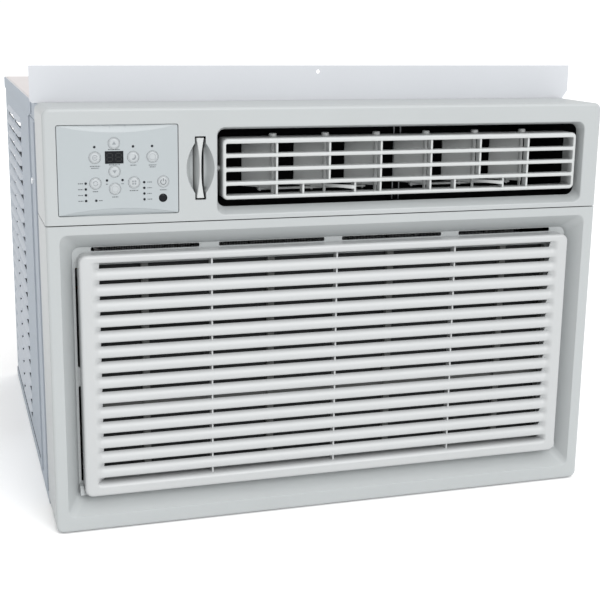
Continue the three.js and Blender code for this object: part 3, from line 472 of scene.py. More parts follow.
def build_upper_front(m):
    w = FACE_HALF_W + 1
    seam = SEAM_Z + SEAM_HALF_GAP
    body = fascia_solid()
    combine(body, Shape().box(-w, w, -1, FACE_DEPTH + 1, seam, FACE_H + 1), "INTERSECT")
    combine(body, Shape().box(-w + 3, w - 3, 2, FACE_DEPTH - 0.5, seam, seam + FACE_WALL), "UNION")
    lip = [outlet_ring(0, 1.8, 0.5), outlet_ring(1, 1.8, OUTLET_LIP_Y)]
    combine(body, Shape().loft(lip), "UNION")
    opening = [outlet_ring(share, grow, y) for share, grow, y in (
        (0, 1.5, -0.5), (0, 1.3, 0.0), (0, 0.35, 0.45), (0.09, 0, 1.4), (0.93, 0, 14),
        (1, 0.5, OUTLET_LIP_Y + 0.6))]
    combine(body, Shape().loft(opening), "DIFFERENCE")
    combine(body, Shape().prism("y", panel_outline(0.5), -1, FACE_WALL + 1), "DIFFERENCE")
    outer = [lens_ring(19, 41, 2), lens_ring(18, 39, 8), lens_ring(12, 36, 15)]
    combine(body, Shape().loft(outer), "UNION")
    # The finger recess: a lens-shaped dish that deepens towards the slot.
    dish = []
    for i in range(9):
        t = i / 8
        dish.append(lens_ring(16 - 9 * t, 36 + 1.5 * t, 12.5 * math.sin(t * math.pi / 2)))
    dish.insert(0, lens_ring(16.4, 36.4, -1))
    combine(body, Shape().loft(dish), "DIFFERENCE")
    slot = round_rect(VENT_X - 6.3, VENT_X + 6.3, VENT_Z - 35.5, VENT_Z + 35.5, 1.0, 3)
    combine(body, Shape().prism("y", slot, -1, 20), "DIFFERENCE")
    soften(body, 0.5)
    finish_piece(body, "upper_front", "housing", m["plastic"], ["upper_front_panel"])


RECESS = {"half_w": 321.5, "z0": 19.4, "z1": 349.6, "depth": 20.0}
FLOOR = {"half_w": 308.0, "z0": 36.0, "z1": 334.0}


def recess_rings(grow, start_y):
    """Rounded mouth, sloping walls and a soft turn into the flat floor of the grille recess."""
    rings = []
    steps = ((-1.6, start_y), (-1.6, 0.0), (-0.7, 0.35), (0.0, 1.3), (0.9, 16.5), (1.0, 18.4), (1.25, 19.5),
             (1.5, RECESS["depth"]))
    reach = FLOOR["half_w"] - RECESS["half_w"]
    low = FLOOR["z0"] - RECESS["z0"]
    high = FLOOR["z1"] - RECESS["z1"]
    for k, y in steps:
        share = max(0.0, min(1.0, k)) if k <= 1 else 1.0 + (k - 1) * 0.12
        out = grow + (-k if k < 0 else 0.0)
        rings.append(rect_ring(
            -RECESS["half_w"] - reach * share - out, RECESS["half_w"] + reach * share + out,
            RECESS["z0"] + low * share - out, RECESS["z1"] + high * share + out, 9.0, y))
    return rings


def build_lower_front(m):
    w = FACE_HALF_W + 1
    seam = SEAM_Z - SEAM_HALF_GAP
    body = fascia_solid()
    combine(body, Shape().box(-w, w, -1, FACE_DEPTH + 1, -1, seam), "INTERSECT")
    combine(body, Shape().box(-w + 3, w - 3, 2, FACE_DEPTH - 0.5, seam - FACE_WALL, seam), "UNION")
    backing = recess_rings(FACE_WALL, 1.0)[2:]
    backing = [[(x, min(y, 19) + FACE_WALL, z) for x, y, z in ring] for ring in backing]
    backing.insert(0, [(x, 1.0, z) for x, y, z in backing[0]])
    combine(body, Shape().loft(backing), "UNION")
    combine(body, Shape().loft(recess_rings(0.0, -1.0)), "DIFFERENCE")
    cuts = Shape()
    cuts.prism("y", round_rect(-283, 283, 60, 312, 6), 15, 30)
    for x0, x1 in ((-286, -162), (-139, -11), (11, 139), (162, 286)):
        cuts.prism("y", round_rect(x0, x1, 327.8, 332.6, 1.5, 3), 15, 30)
    for side in (-1, 1):
        for z0, z1 in ((55, 171), (194, 310)):
            x = side * 302.8
            cuts.prism("y", round_rect(x - 1.6, x + 1.6, z0, z1, 1.4, 3), 15, 30)
    combine(body, cuts, "DIFFERENCE")
    lugs = Shape()
    for side in (-1, 1):
        outline = [(9, 41.5), (21, 41.5), (21, 52), (12, 52), (9, 49)]
        lugs.prism("x", outline, side * 302.9, side * 306.9)
    combine(body, lugs, "UNION")
    holes = Shape().turned("x", 48, 28, [(0, 330), (8.2, 330), (8.2, 340), (0, 340)])
    holes.turned("x", GRILLE_PIN_Y, GRILLE_PIN_Z, [(0, 301), (2.8, 301), (2.8, 309), (0, 309)], 16)
    holes.turned("x", GRILLE_PIN_Y, GRILLE_PIN_Z, [(0, -309), (2.8, -309), (2.8, -301), (0, -301)], 16)
    combine(body, holes, "DIFFERENCE")
    soften(body, 0.5)
    finish_piece(body, "lower_front", "housing", m["plastic"], ["lower_front_panel"])


# ---------- intake grille ----------
SLAT_COUNT = 14
SLAT_PITCH = 18.0
SLAT_TOP_Z = 304.3
GAP_END_X = 279.5
FADE_END_X = 290.0
GRILLE_FACE_Y = -1.0
SLAT_SECTION = ((2.2, -6.6), (0.8, -5.9), (0.0, -4.4), (0.0, -1.6), (0.5, 1.0), (1.7, 3.4), (3.4, 5.3),
                (5.4, 6.5))


def grille_rows():
    """Rows of the pressed face, bottom to top, as (pressed y, pressed z, flat z), and the gap rows."""
    rows = []
    gaps = []
    bottom = ((-1, 51.5, 51.5), (-1, 52.5, 52.5), (-0.5, 54, 53.6), (0.8, 55.6, 54.7), (3.2, 56.8, 55.8),
              (7, 57.4, 56.7), (12.6, 57.6, 57.6))
    rows.extend(bottom)
    for k in reversed(range(SLAT_COUNT)):
        z = SLAT_TOP_Z - k * SLAT_PITCH
        gaps.append(len(rows) - 1)
        last = len(SLAT_SECTION) - 1
        for i, (y, dz) in enumerate(SLAT_SECTION):
            rows.append((y, z + dz, z - 6.6 + 13.1 * i / last))
    gaps.append(len(rows) - 1)
    rows.extend(((2.2, 317.6, 317.6), (0.4, 318.0, 318.4), (-0.7, 319.0, 319.4), (-1, 320.4, 320.4),
                 (-1, 321.6, 321.6)))
    return rows, gaps


def build_grille(m):
    rows, gaps = grille_rows()
    ends = [GAP_END_X + (FADE_END_X - GAP_END_X) * i / 7 for i in range(8)]
    columns = [-x for x in reversed(ends)] + ends
    verts = []
    faces = []
    for x in columns:
        press = 1 - smooth((abs(x) - GAP_END_X - 0.8) / (FADE_END_X - GAP_END_X - 1.6))
        for y, z, flat_z in rows:
            verts.append((x, GRILLE_FACE_Y + (y - GRILLE_FACE_Y) * press, flat_z + (z - flat_z) * press))
    count = len(rows)
    middle = len(ends) - 1
    for c in range(len(columns) - 1):
        for r in range(count - 1):
            if c == middle and r in gaps:
                continue
            a = c * count + r
            faces.append((a, a + count, a + count + 1, a + 1))
    half_w, z0, z1, edge = 302.0, 41.8, 326.8, 3.6
    rings = [rect_ring(-half_w, half_w, z0, z1, 9, GRILLE_FACE_Y + depth, inset)
             for inset, depth in fillet(edge, 6)]
    rings.append(rect_ring(-half_w, half_w, z0, z1, 9, 14.4))
    rings.append([(x, 19.4, max(z, z0 + 5)) for x, y, z in rings[-1]])
    shape = Shape()
    shape.verts, shape.faces = verts, faces
    first_ring = len(verts)
    shape.loft(rings, caps=False)
    mesh = bpy.data.meshes.new("grille")
    mesh.from_pydata([point(*v) for v in shape.verts], [], shape.faces)
    bm = bmesh.new()
    bm.from_mesh(mesh)
    bm.verts.ensure_lookup_table()
    ring_size = len(rings[0])
    inner_edges = [e for e in bm.edges if e.is_boundary
                   and all(v.index < first_ring + ring_size for v in e.verts)
                   and all(abs(v.co.y - (FACE_Y + GRILLE_FACE_Y * MM)) < 1e-6 for v in e.verts)]
    bmesh.ops.triangle_fill(bm, use_beauty=True, edges=inner_edges)
    bmesh.ops.recalc_face_normals(bm, faces=bm.faces)
    if sum(f.normal.y * f.calc_area() for f in bm.faces) > 0:
        bmesh.ops.reverse_faces(bm, faces=bm.faces)
    bm.to_mesh(mesh)
    bm.free()
    obj = bpy.data.objects.new("grille", mesh)
    bpy.context.scene.collection.objects.link(obj)
    thick = obj.modifiers.new("wall", "SOLIDIFY")
    thick.thickness = 1.8 * MM
    thick.offset = -1
    settle(obj)
    extra = Shape()
    for x in (-151, 0, 151):
        extra.prism("z", [(x - 0.9, 4), (x + 0.9, 4), (x + 1.3, 14), (x - 1.3, 14)], 55, 320)
    for side in (-1, 1):
        pin = [(0, side * 299), (2.4, side * 299), (2.4, side * 305.9), (1.9, side * 306.4),
               (0, side * 306.4)]
        extra.turned("x", GRILLE_PIN_Y, GRILLE_PIN_Z, pin, 20)
    add_bodies(obj, extra)
    finish_piece(obj, "grille_face", "grille", m["grille"], ["intake_grille"], sharp=50)


def add_bodies(obj, shape):
    """Joins separate closed bodies to an object's mesh."""
    other = to_object(shape)
    bm = bmesh.new()
    bm.from_mesh(obj.data)
    bm.from_mesh(other.data)
    bm.to_mesh(obj.data)
    bm.free()
    bpy.data.objects.remove(other)


# ---------- louver frame and vanes ----------
LOUVER_FACE_Y = 4
LOUVER_BACK_Y = 31
LOUVER_PIVOT_Y = 21
ROW_COUNT = 4
ROW_H = 11.4
BAR_H = 4.4
ROW_Z0 = OUTLET_Z - LOUVER_HALF_H + 4.5


def vane_x(i):
    return OUTLET_X + (i - (VANE_COUNT - 1) / 2) * VANE_PITCH


def build_louver(m):
    x0, x1 = OUTLET_X - LOUVER_HALF_W, OUTLET_X + LOUVER_HALF_W
    z0, z1 = OUTLET_Z - LOUVER_HALF_H, OUTLET_Z + LOUVER_HALF_H
    rings = [rect_ring(x0, x1, z0, z1, 6, LOUVER_FACE_Y + depth, inset)
             for inset, depth in fillet(2.4, 4)]
    rings.append(rect_ring(x0, x1, z0, z1, 6, 16))
    body = to_object(Shape().loft(rings))
    rows = Shape()
    for row in range(ROW_COUNT):
        low = ROW_Z0 + row * (ROW_H + BAR_H)
        rows.prism("y", round_rect(x0 + 4, x1 - 4, low, low + ROW_H, 1.6, 4), 0, 30)
    combine(body, rows, "DIFFERENCE")
    soften(body, 1.3, 3)
    ribs = Shape()
    walls = [rect_ring(x0, x1, z0, z1, 6, y, inset)
             for inset, y in ((0.05, 14), (0.05, LOUVER_BACK_Y), (3, LOUVER_BACK_Y), (3, 14))]
    ribs.loft(walls, looped=True)
    for i in range(VANE_COUNT):
        lead = i in LEAD_VANES
        low = ROW_Z0 + ROW_H + 1 if lead else z0 + 2
        ribs.prism("z", [(vane_x(i) - 1.1, 6), (vane_x(i) + 1.1, 6), (vane_x(i) + 1.4, 15.5),
                         (vane_x(i) - 1.4, 15.5)], low, z1 - 2)
        if lead:
            for side in (-1, 1):
                x = vane_x(i) + side * VANE_PITCH / 2
                ribs.prism("z", [(x - 1.1, 6), (x + 1.1, 6), (x + 1.4, 15.5), (x - 1.4, 15.5)],
                           z0 + 2, ROW_Z0 + ROW_H + 1)
        # Boss over the vane's upper pin.
        ribs.turned("z", vane_x(i), VANE_PIVOT_Y, [(0, z1 - 1), (4.6, z1 - 1), (4.4, z1 + 3), (3.9, z1 + 3.5),
                                                   (0, z1 + 3.5)], 20)
    for side in (-1, 1):
        start = x1 - 1 if side > 0 else x0 + 1
        ribs.turned("x", LOUVER_PIVOT_Y, OUTLET_Z, [
            (0, start), (3, start), (3, start + side * 14.4), (2.4, start + side * 15),
            (0, start + side * 15)], 24)
    add_bodies(body, ribs)
    finish_piece(body, "louver_face", "louver", m["louver"], ["louver_frame"])


def build_vanes(m):
    z0 = OUTLET_Z - LOUVER_HALF_H + 8.8
    z1 = OUTLET_Z + LOUVER_HALF_H - 5.4
    for i in range(VANE_COUNT):
        x, y = vane_x(i), VANE_PIVOT_Y
        shape = Shape()
        blade = [(x - 1.1, y - 1), (x + 1.1, y - 1), (x + 1.1, y + 8), (x + 0.75, y + VANE_CHORD - 1),
                 (x, y + VANE_CHORD), (x - 0.75, y + VANE_CHORD - 1), (x - 1.1, y + 8)]
        shape.prism("z", blade, z0, z1)
        shape.turned("z", x, y, [(0, z0 - 0.1), (2.0, z0 - 0.1), (2.5, z0 + 0.4), (2.5, z1 - 0.4),
                                 (2.0, z1 + 0.1), (0, z1 + 0.1)], 20)
        shape.turned("z", x, y, [(0, z0 - 7.5), (1.6, z0 - 7.5), (1.8, z0 - 7.2), (1.8, z1 + 4.1),
                                 (1.6, z1 + 4.4), (0, z1 + 4.4)], 16)
        shape.turned("z", x, y + CRANK, [(0, z0 - 4.2), (1.4, z0 - 4.2), (1.4, z0 + 2), (0, z0 + 2)], 16)
        if i in LEAD_VANES:
            tip = y - 39
            half = [(2.0, y + 1), (1.7, y - 8), (1.7, tip + 14), (2.6, tip + 9), (3.4, tip + 5),
                    (3.3, tip + 2), (2.4, tip + 0.5), (1.0, tip)]
            outline = [(x + a, b) for a, b in half] + [(x - a, b) for a, b in reversed(half)]
            shape.prism("z", outline, z0 + 0.4, z0 + 4)
        obj = to_object(shape)
        turn = Matrix.Rotation(math.radians(VANE_ANGLE), 4, "Z")
        pivot = Matrix.Translation(point(x, y, 0))
        obj.data.transform(pivot @ turn @ pivot.inverted())
        soften(obj, 0.35)
        name = f"vane_{i + 1}"
        finish_piece(obj, f"air_vane_{i + 1}", name, m["louver"], [name])


# ---------- control panel ----------
DISPLAY = (-270.2, -250.2, 428.1, 441.6)
IR_CENTRE = (-207.0, 388.8)
DIGIT_X = (-265.0, -255.4)
DIGIT_Z = 434.9
BUTTON_HOLE_R = 6.6
LAMP_HOLE_R = 1.45
IR_HOLE_R = 4.8
# Words on the panel, as (x, z, length of the first line, number of lines).
PANEL_WORDS = (
    (-281.2, 425.6, 11.0, 2), (-260.2, 443.4, 13.0, 1), (-260.2, 426.9, 12.0, 1),
    (-239.4, 425.9, 6.5, 1), (-218.2, 425.6, 8.5, 2), (-281.2, 397.9, 6.5, 1),
    (-260.0, 391.4, 6.5, 1), (-239.0, 397.9, 10.0, 1), (-206.6, 397.7, 7.5, 1),
    (-275.6, 387.9, 4.6, 1), (-268.6, 405.8, 2.6, 1), (-251.6, 405.8, 2.6, 1),
)


def build_panel(m):
    x0, x1, z0, z1 = PANEL
    body = to_object(Shape().prism("y", panel_outline(-0.45), 0.3, 4))
    combine(body, Shape().box(x0 - 4, x1 + 3, 3.2, 4.8, z0 - 4, z1 + 4), "UNION")
    combine(body, crescent(z1, -1, 8.0), "DIFFERENCE")
    combine(body, crescent(z0, 1, 6.8), "DIFFERENCE")
    holes = Shape()
    for x, z in BUTTONS.values():
        holes.turned("y", x, z, [(0, -1), (BUTTON_HOLE_R, -1), (BUTTON_HOLE_R, 6), (0, 6)], 40)
    for x, z in LAMPS:
        holes.turned("y", x, z, [(0, -1), (LAMP_HOLE_R, -1), (LAMP_HOLE_R, 6), (0, 6)], 16)
    holes.turned("y", *IR_CENTRE, [(0, -1), (IR_HOLE_R, -1), (IR_HOLE_R, 6), (0, 6)], 32)
    x0, x1, z0, z1 = DISPLAY
    holes.prism("y", round_rect(x0 - 0.15, x1 + 0.15, z0 - 0.15, z1 + 0.15, 0.6, 3), -1, 6)
    combine(body, holes, "DIFFERENCE")
    soften(body, 0.28)
    finish_piece(body, "control_overlay", "housing", m["overlay"], ["control_panel"])

    window = [rect_ring(x0, x1, z0, z1, 0.5, 0.6 + depth, inset, 3) for inset, depth in fillet(0.4, 3)]
    window.append(rect_ring(x0, x1, z0, z1, 0.5, 5, 0, 3))
    obj = to_object(Shape().loft(window))
    add_bodies(obj, Shape().box(x0 - 1.2, x1 + 1.2, 5, 6, z0 - 0.6, z1 + 0.6))
    finish_piece(obj, "display_glass", "housing", m["window"], ["display_window"])

    bars = Shape()
    for cx in DIGIT_X:
        for level in (-4.3, 0.0, 4.3):
            bars.prism("y", hexagon(cx, DIGIT_Z + level, 2.5, 0.55, True), 0.52, 0.7)
        for side in (-1, 1):
            for level in (-2.15, 2.15):
                bars.prism("y", hexagon(cx + side * 3.0, DIGIT_Z + level, 0.55, 1.75, False), 0.52, 0.7)
    finish_piece(to_object(bars), "display_bars", "housing", m["segment"])

    eye = [(0, 0.2), (2.2, 0.3), (3.8, 0.6), (4.5, 1.1), (4.7, 1.9), (4.7, 5), (5.5, 5), (5.5, 6.4), (0, 6.4)]
    obj = to_object(Shape().turned("y", *IR_CENTRE, eye, 32))
    finish_piece(obj, "remote_eye", "housing", m["window"], ["ir_lens"])

    marks = Shape()
    for x, z, length, lines in PANEL_WORDS:
        for line in range(lines):
            add_dashes(marks, x, z - 2.1 * line, length * (1 - 0.25 * line), 1.0)
    for z in (407.0, 400.6, 394.2, 387.9):
        add_dashes(marks, -297.4, z, 5.6, 1.0)
    for z in (406.8, 400.5, 394.2, 387.8):
        add_dashes(marks, -221.8, z, 5.2, 1.0)
    finish_piece(to_object(marks), "panel_marks", "housing", m["mark"])


def crescent(edge, turn, rise):
    """Cutter that slopes the panel back between a shallow arc and its straight edge."""
    x0, x1 = PANEL[0] - 0.6, PANEL[1] + 0.6
    steps = 28
    rings = []
    for i in range(steps + 1):
        t = i / steps
        arc_z = edge + turn * (0.5 + rise * 4 * t * (1 - t))
        out_z = edge - turn * 0.6
        depth = 0.3 + 2.3 * 4 * t * (1 - t)
        x = x0 + (x1 - x0) * t
        rings.append([(x, -1, arc_z), (x, 0.85, arc_z), (x, 0.95 + depth, out_z), (x, -1, out_z)])
    return Shape().loft(rings)


def hexagon(cx, cz, half_a, half_b, level):
    """Six-sided bar of a number display, lying or standing."""
    if level:
        return [(cx - half_a, cz), (cx - half_a + half_b, cz - half_b), (cx + half_a - half_b, cz - half_b),
                (cx + half_a, cz), (cx + half_a - half_b, cz + half_b), (cx - half_a + half_b, cz + half_b)]
    return [(cx, cz - half_b), (cx + half_a, cz - half_b + half_a), (cx + half_a, cz + half_b - half_a),
            (cx, cz + half_b), (cx - half_a, cz + half_b - half_a), (cx - half_a, cz - half_b + half_a)]


def add_dashes(shape, x, z, length, height):
    """A row of short plain strokes in place of a word."""
    start = x - length / 2
    while start < x + length / 2 - 0.4:
        stroke = min(random.uniform(0.8, 2.2), x + length / 2 - start)
        shape.box(start, start + stroke, 0.24, 0.5, z - height / 2, z + height / 2)
        start += stroke + 0.45


def build_buttons(m):
    cap = [(0, -0.55), (3.0, -0.52), (4.6, -0.42), (5.05, -0.15), (5.2, 0.25), (5.4, 0.25), (5.55, -0.1),
           (5.85, -0.25), (6.2, -0.05), (6.4, 0.5), (6.4, 5.2), (7.7, 5.2), (7.7, 6.2), (1.6, 6.2),
           (1.6, 10.6), (0, 10.6)]
    for name, (x, z) in BUTTONS.items():
        obj = to_object(Shape().turned("y", x, z, cap, 40))
        finish_piece(obj, name + "_cap", name, m["button"], [name], sharp=30)
        icon = to_object(icon_shape(name, x, z))
        ink = m["mark"] if name == "button_power" else m["faint_mark"]
        finish_piece(icon, name + "_icon", name, ink)


def icon_shape(name, x, z):
    """Small generic symbol on the middle of a button."""
    shape = Shape()
    near, far = -0.62, -0.3
    if name in ("button_up", "button_down"):
        s = 1 if name == "button_up" else -1
        return shape.prism("y", [(x - 2.3, z - s * 1.4), (x + 2.3, z - s * 1.4), (x, z + s * 2.1)], near, far)
    if name == "button_sleep":
        outer = [(x + 3.0 * math.cos(math.radians(a)), z + 3.0 * math.sin(math.radians(a)))
                 for a in range(-120, 61, 15)]
        inner = [(x - 1.0 + 2.7 * math.cos(math.radians(a)), z + 1.2 + 2.7 * math.sin(math.radians(a)))
                 for a in range(36, -106, -12)]
        return shape.prism("y", outer + inner, near, far)
    if name == "button_power":
        arc(shape, x, z - 0.2, 3.0, 0.8, 130, 410, near, far)
        return shape.box(x - 0.4, x + 0.4, near, far, z + 0.3, z + 3.6)
    if name in ("button_timer", "button_energy"):
        arc(shape, x, z, 3.4, 0.22, 0, 350, near, far)
        return shape
    if name == "button_fan":
        for k in range(4):
            a = math.radians(45 + 90 * k)
            cx, cz = x + 1.9 * math.cos(a), z + 1.9 * math.sin(a)
            shape.prism("y", [(cx + 1.05 * c, cz + 1.05 * s) for c, s in circle(12)], near, far)
        return shape
    if name == "button_check":
        arc(shape, x, z, 2.6, 0.6, 20, 340, near, far)
        return shape.box(x - 1.6, x + 1.6, near, far, z - 0.3, z + 0.3)
    for start in (20, 200):
        arc(shape, x, z, 2.4, 0.55, start, start + 130, near, far)
        a = math.radians(start + 140)
        cx, cz = x + 2.4 * math.cos(a), z + 2.4 * math.sin(a)
        shape.prism("y", [(cx + 0.95 * c, cz + 0.95 * s) for c, s in circle(3)], near, far)
    return shape


def arc(shape, x, z, radius, width, start, end, near, far):
    steps = 24
    angles = [math.radians(start + (end - start) * i / steps) for i in range(steps + 1)]
    outer = [(x + (radius + width / 2) * math.cos(a), z + (radius + width / 2) * math.sin(a))
             for a in angles]
    inner = [(x + (radius - width / 2) * math.cos(a), z + (radius - width / 2) * math.sin(a))
             for a in reversed(angles)]
    shape.prism("y", outer + inner, near, far)


PULL_HALF_H = 33.6
PULL_REAR_HALF_W = 4.7
PULL_WIRE_Z = 430
PULL_WIRE_END_Y = 238


def build_vent_pull(m):
    """Pull with a finger scoop on each side, so that its front narrows to a ridge at mid height."""
    steps = 20
    rings = []
    for i in range(steps + 1):
        t = 2 * i / steps - 1
        z = VENT_Z + PULL_HALF_H * t
        front = 0.8 + 3.6 * abs(t) ** 1.9
        base = 4.9
        middle = (front + base) / 2 - 0.9 * (1 - abs(t))
        half = [(front * 0.6, 1.0), (front, 1.5), (middle, 8.5), (base, 15.5), (base, 18.2)]
        ring = [(VENT_X + a, y, z) for a, y in half] + [(VENT_X - a, y, z) for a, y in reversed(half)]
        rings.append(ring)
    obj = to_object(Shape().loft(rings))
    soften(obj, 0.4, 2, 50)
    w = PULL_REAR_HALF_W
    rear = Shape().box(VENT_X - w, VENT_X + w, 17, 20, VENT_Z - 28, VENT_Z + 28)
    wire = [(0, 19), (2, 19), (2, PULL_WIRE_END_Y), (0, PULL_WIRE_END_Y)]
    rear.turned("y", VENT_X, PULL_WIRE_Z, wire, 16)
    add_bodies(obj, rear)
    finish_piece(obj, "fresh_air_pull", "vent_pull", m["louver"], ["vent_pull"], sharp=45)


# ---------- steel sleeve ----------
LOUVRE_ROWS = 22
LOUVRE_PITCH = 19.4
LOUVRE_TOP_Z = 447.0
LOUVRE_SLOT_H = 13.0
LOUVRE_COLUMNS = ((345.0, 455.0), (475.0, 590.0))
BEND_R = 3.0
HEM_FRONT_Y = 150.0
TOP_HEM_REACH = 1.5
LOW_HEM_REACH = 1.2
HOOD_WALL = 1.0
HOOD_OVERLAP = 3
# The hood's section, as (distance out, height) from the top edge of its slot, and its rounded ends.
HOOD_SECTION = ((0.0, 1.5), (0.3, 0.9), (1.0, -0.2), (1.9, -1.6), (2.7, -3.0), (3.2, -3.9), (3.4, -4.4))
HOOD_ENDS = (0.0, 0.4, 1.0, 1.9, 3.0, 4.2)


def build_sleeve(m):
    w = SLEEVE_HALF_W
    outline = round_rect(-w, w, 0, SLEEVE_TOP_Z, BEND_R, 4)
    levels = []
    for row in range(LOUVRE_ROWS):
        z = LOUVRE_TOP_Z - row * LOUVRE_PITCH
        levels.extend((z, z - LOUVRE_SLOT_H))
    # The outline runs counter-clockwise from the top right corner; the side levels go in between corners.
    per_corner = len(outline) // 4
    left = [(-w, z) for z in levels]
    right = [(w, z) for z in reversed(levels)]
    ring = outline[:2 * per_corner] + left + outline[2 * per_corner:] + right
    stations = [FACE_DEPTH] + [y for pair in LOUVRE_COLUMNS for y in pair] + [REAR_Y]
    tops = {round(LOUVRE_TOP_Z - row * LOUVRE_PITCH, 3) for row in range(LOUVRE_ROWS)}
    verts = [(x, y, z) for y in stations for x, z in ring]
    faces = []
    count = len(ring)
    for s in range(len(stations) - 1):
        for i in range(count):
            j = (i + 1) % count
            (xa, za), (xb, zb) = ring[i], ring[j]
            in_slot = s in (1, 3) and xa == xb and abs(abs(za - zb) - LOUVRE_SLOT_H) < 1e-6
            in_slot = in_slot and round(max(za, zb), 3) in tops
            if not in_slot:
                a, b = s * count, (s + 1) * count
                faces.append((a + i, a + j, b + j, b + i))
    mesh = bpy.data.meshes.new("sleeve")
    mesh.from_pydata([point(*v) for v in verts], [], faces)
    bm = bmesh.new()
    bm.from_mesh(mesh)
    centre = point(0, 350, 240)
    outward = sum((f.calc_center_median() - centre).dot(f.normal) for f in bm.faces)
    if outward < 0:
        bmesh.ops.reverse_faces(bm, faces=bm.faces)
    bm.to_mesh(mesh)
    bm.free()
    obj = bpy.data.objects.new("sleeve", mesh)
    bpy.context.scene.collection.objects.link(obj)
    thick = obj.modifiers.new("wall", "SOLIDIFY")
    thick.thickness = SLEEVE_WALL * MM
    thick.offset = -1
    settle(obj)
    hems = Shape()
    for side in (-1, 1):
        a, b = side * (w - 1), side * (w + TOP_HEM_REACH)
        top_hem = [(a, 470), (b - side * 0.5, 470), (b, 470.6), (b, 486), (b - side * 0.8, 487), (a, 487)]
        hems.prism("y", top_hem, HEM_FRONT_Y, REAR_Y)
        b = side * (w + LOW_HEM_REACH)
        low_hem = [(a, 0), (b - side * 0.8, 0), (b, 0.8), (b, 12.2), (b - side * 0.6, 13), (a, 13)]
        hems.prism("y", low_hem, FACE_DEPTH + 0.2, REAR_Y)
    add_bodies(obj, hems)
    finish_piece(obj, "steel_sleeve", "housing", m["paint"], ["cabinet_sleeve"])
    # The inner faces get a near-black copy of the paint as painted shade for the dark inside of the sleeve,
    # and the top faces get a paler copy of the paint as painted light from above.
    obj.data.materials.append(m["inside"])
    obj.data.materials.append(m["paint_top"])
    middle = point(0, 350, SLEEVE_TOP_Z / 2)
    for face in obj.data.polygons:
        out = face.normal
        away = face.center - middle
        if abs(out.y) < 0.5 and away.x * out.x + away.z * out.z < 0:
            face.material_index = 1
        # Up-facing top faces: paler copy of the paint as painted light from above.
        elif out.z > 0.9 and away.z > (SLEEVE_TOP_Z / 2 - 1) * MM:
            face.material_index = 2
    # The hoods take the paler copy of the side paint, as painted highlight.
    hoods = to_object(louvre_hoods())
    finish_piece(hoods, "louvre_hoods", "housing", m["hood"], ["cabinet_sleeve"])


def louvre_hoods():
    """Pressed hoods: each bulges out from the top of its slot to a free lip, and closes at both ends."""
    shape = Shape()
    for row in range(LOUVRE_ROWS):
        top = LOUVRE_TOP_Z - row * LOUVRE_PITCH
        for y0, y1 in LOUVRE_COLUMNS:
            stations = [y0 - HOOD_OVERLAP + e for e in HOOD_ENDS]
            stations += [y1 + HOOD_OVERLAP - e for e in reversed(HOOD_ENDS)]
            for side in (-1, 1):
                rings = []
                for k, y in enumerate(stations):
                    near = min(k, len(stations) - 1 - k)
                    lift = smooth(HOOD_ENDS[near] / HOOD_ENDS[-1])
                    lift = 0.06 + 0.94 * lift
                    outer = [(SLEEVE_HALF_W + x * lift + 0.02, top + z) for x, z in HOOD_SECTION]
                    inner = [(x - HOOD_WALL, z - 0.15) for x, z in reversed(outer)]
                    rings.append([(side * x, y, z) for x, z in outer + inner])
                shape.loft(rings)
    return shape


# ---------- outlet guard and condenser coil ----------
GUARD_WIRE_X = (94.0, 102.5)
GUARD_WIRE_Y = 74
FIN_COUNT = 200
FIN_HALF_T = 0.35
TUBE_ROWS = 10
TUBE_R = 4.6
RETURN_BEND_R = 4.4
RETURN_BEND_REACH = 17


def build_guard(m):
    """Thin upright wires across the air outlet, behind the vanes."""
    wires = Shape()
    for x in GUARD_WIRE_X:
        wires.turned("z", x, GUARD_WIRE_Y, [(0, 366.9), (0.85, 366.9), (0.85, 468.9), (0, 468.9)], 12)
    finish_piece(to_object(wires), "outlet_guard_wires", "housing", m["motor"])


def build_condenser(m):
    x0, x1, y0, y1, z0, z1 = -300, 300, 576, 624, 30.5, 440
    fins = Shape()
    for i in range(FIN_COUNT):
        x = x0 + 2 + (x1 - x0 - 4) * i / (FIN_COUNT - 1)
        fins.box(x - FIN_HALF_T, x + FIN_HALF_T, y0, y1, z0, z1)
    finish_piece(to_object(fins), "condenser_fins", "housing", m["fins"], ["condenser_coil"])
    plates = Shape()
    for x in (x0 - 1.5, x1):
        plates.prism("x", round_rect(y0 - 2, y1 + 2, z0 - 2, z1 + 2, 2, 3), x, x + 1.5)
    ends = soften(to_object(plates), 0.3)
    finish_piece(ends, "condenser_ends", "housing", m["galvanised"])
    tubes = Shape()
    pitch = (z1 - z0) / TUBE_ROWS
    for depth in (y0 + 12, y1 - 12):
        for i in range(TUBE_ROWS):
            z = z0 + pitch * (i + 0.5)
            tubes.turned("x", depth, z, [(0, x0 - 3), (TUBE_R, x0 - 3), (TUBE_R, x1 + 3), (0, x1 + 3)], 14)
    for side in (-1, 1):
        x = x1 + 2 if side > 0 else x0 - 2
        for depth in (y0 + 12, y1 - 12):
            offset = 0 if side > 0 else 1
            for i in range(offset, TUBE_ROWS - 1, 2):
                low = z0 + pitch * (i + 0.5)
                rings = []
                for k in range(13):
                    a = math.pi * k / 12
                    cx = x + side * RETURN_BEND_REACH * math.sin(a)
                    cz = low + pitch / 2 - pitch / 2 * math.cos(a)
                    out = Vector((side * math.sin(a) * RETURN_BEND_REACH,
                                  -pitch / 2 * math.cos(a)))
                    out.normalize()
                    r = RETURN_BEND_R
                    rings.append([(cx + r * c * out.x, depth + r * s, cz + r * c * out.y)
                                  for c, s in circle(14)])
                tubes.loft(rings)
    finish_piece(to_object(tubes), "condenser_tubes", "housing", m["copper"])


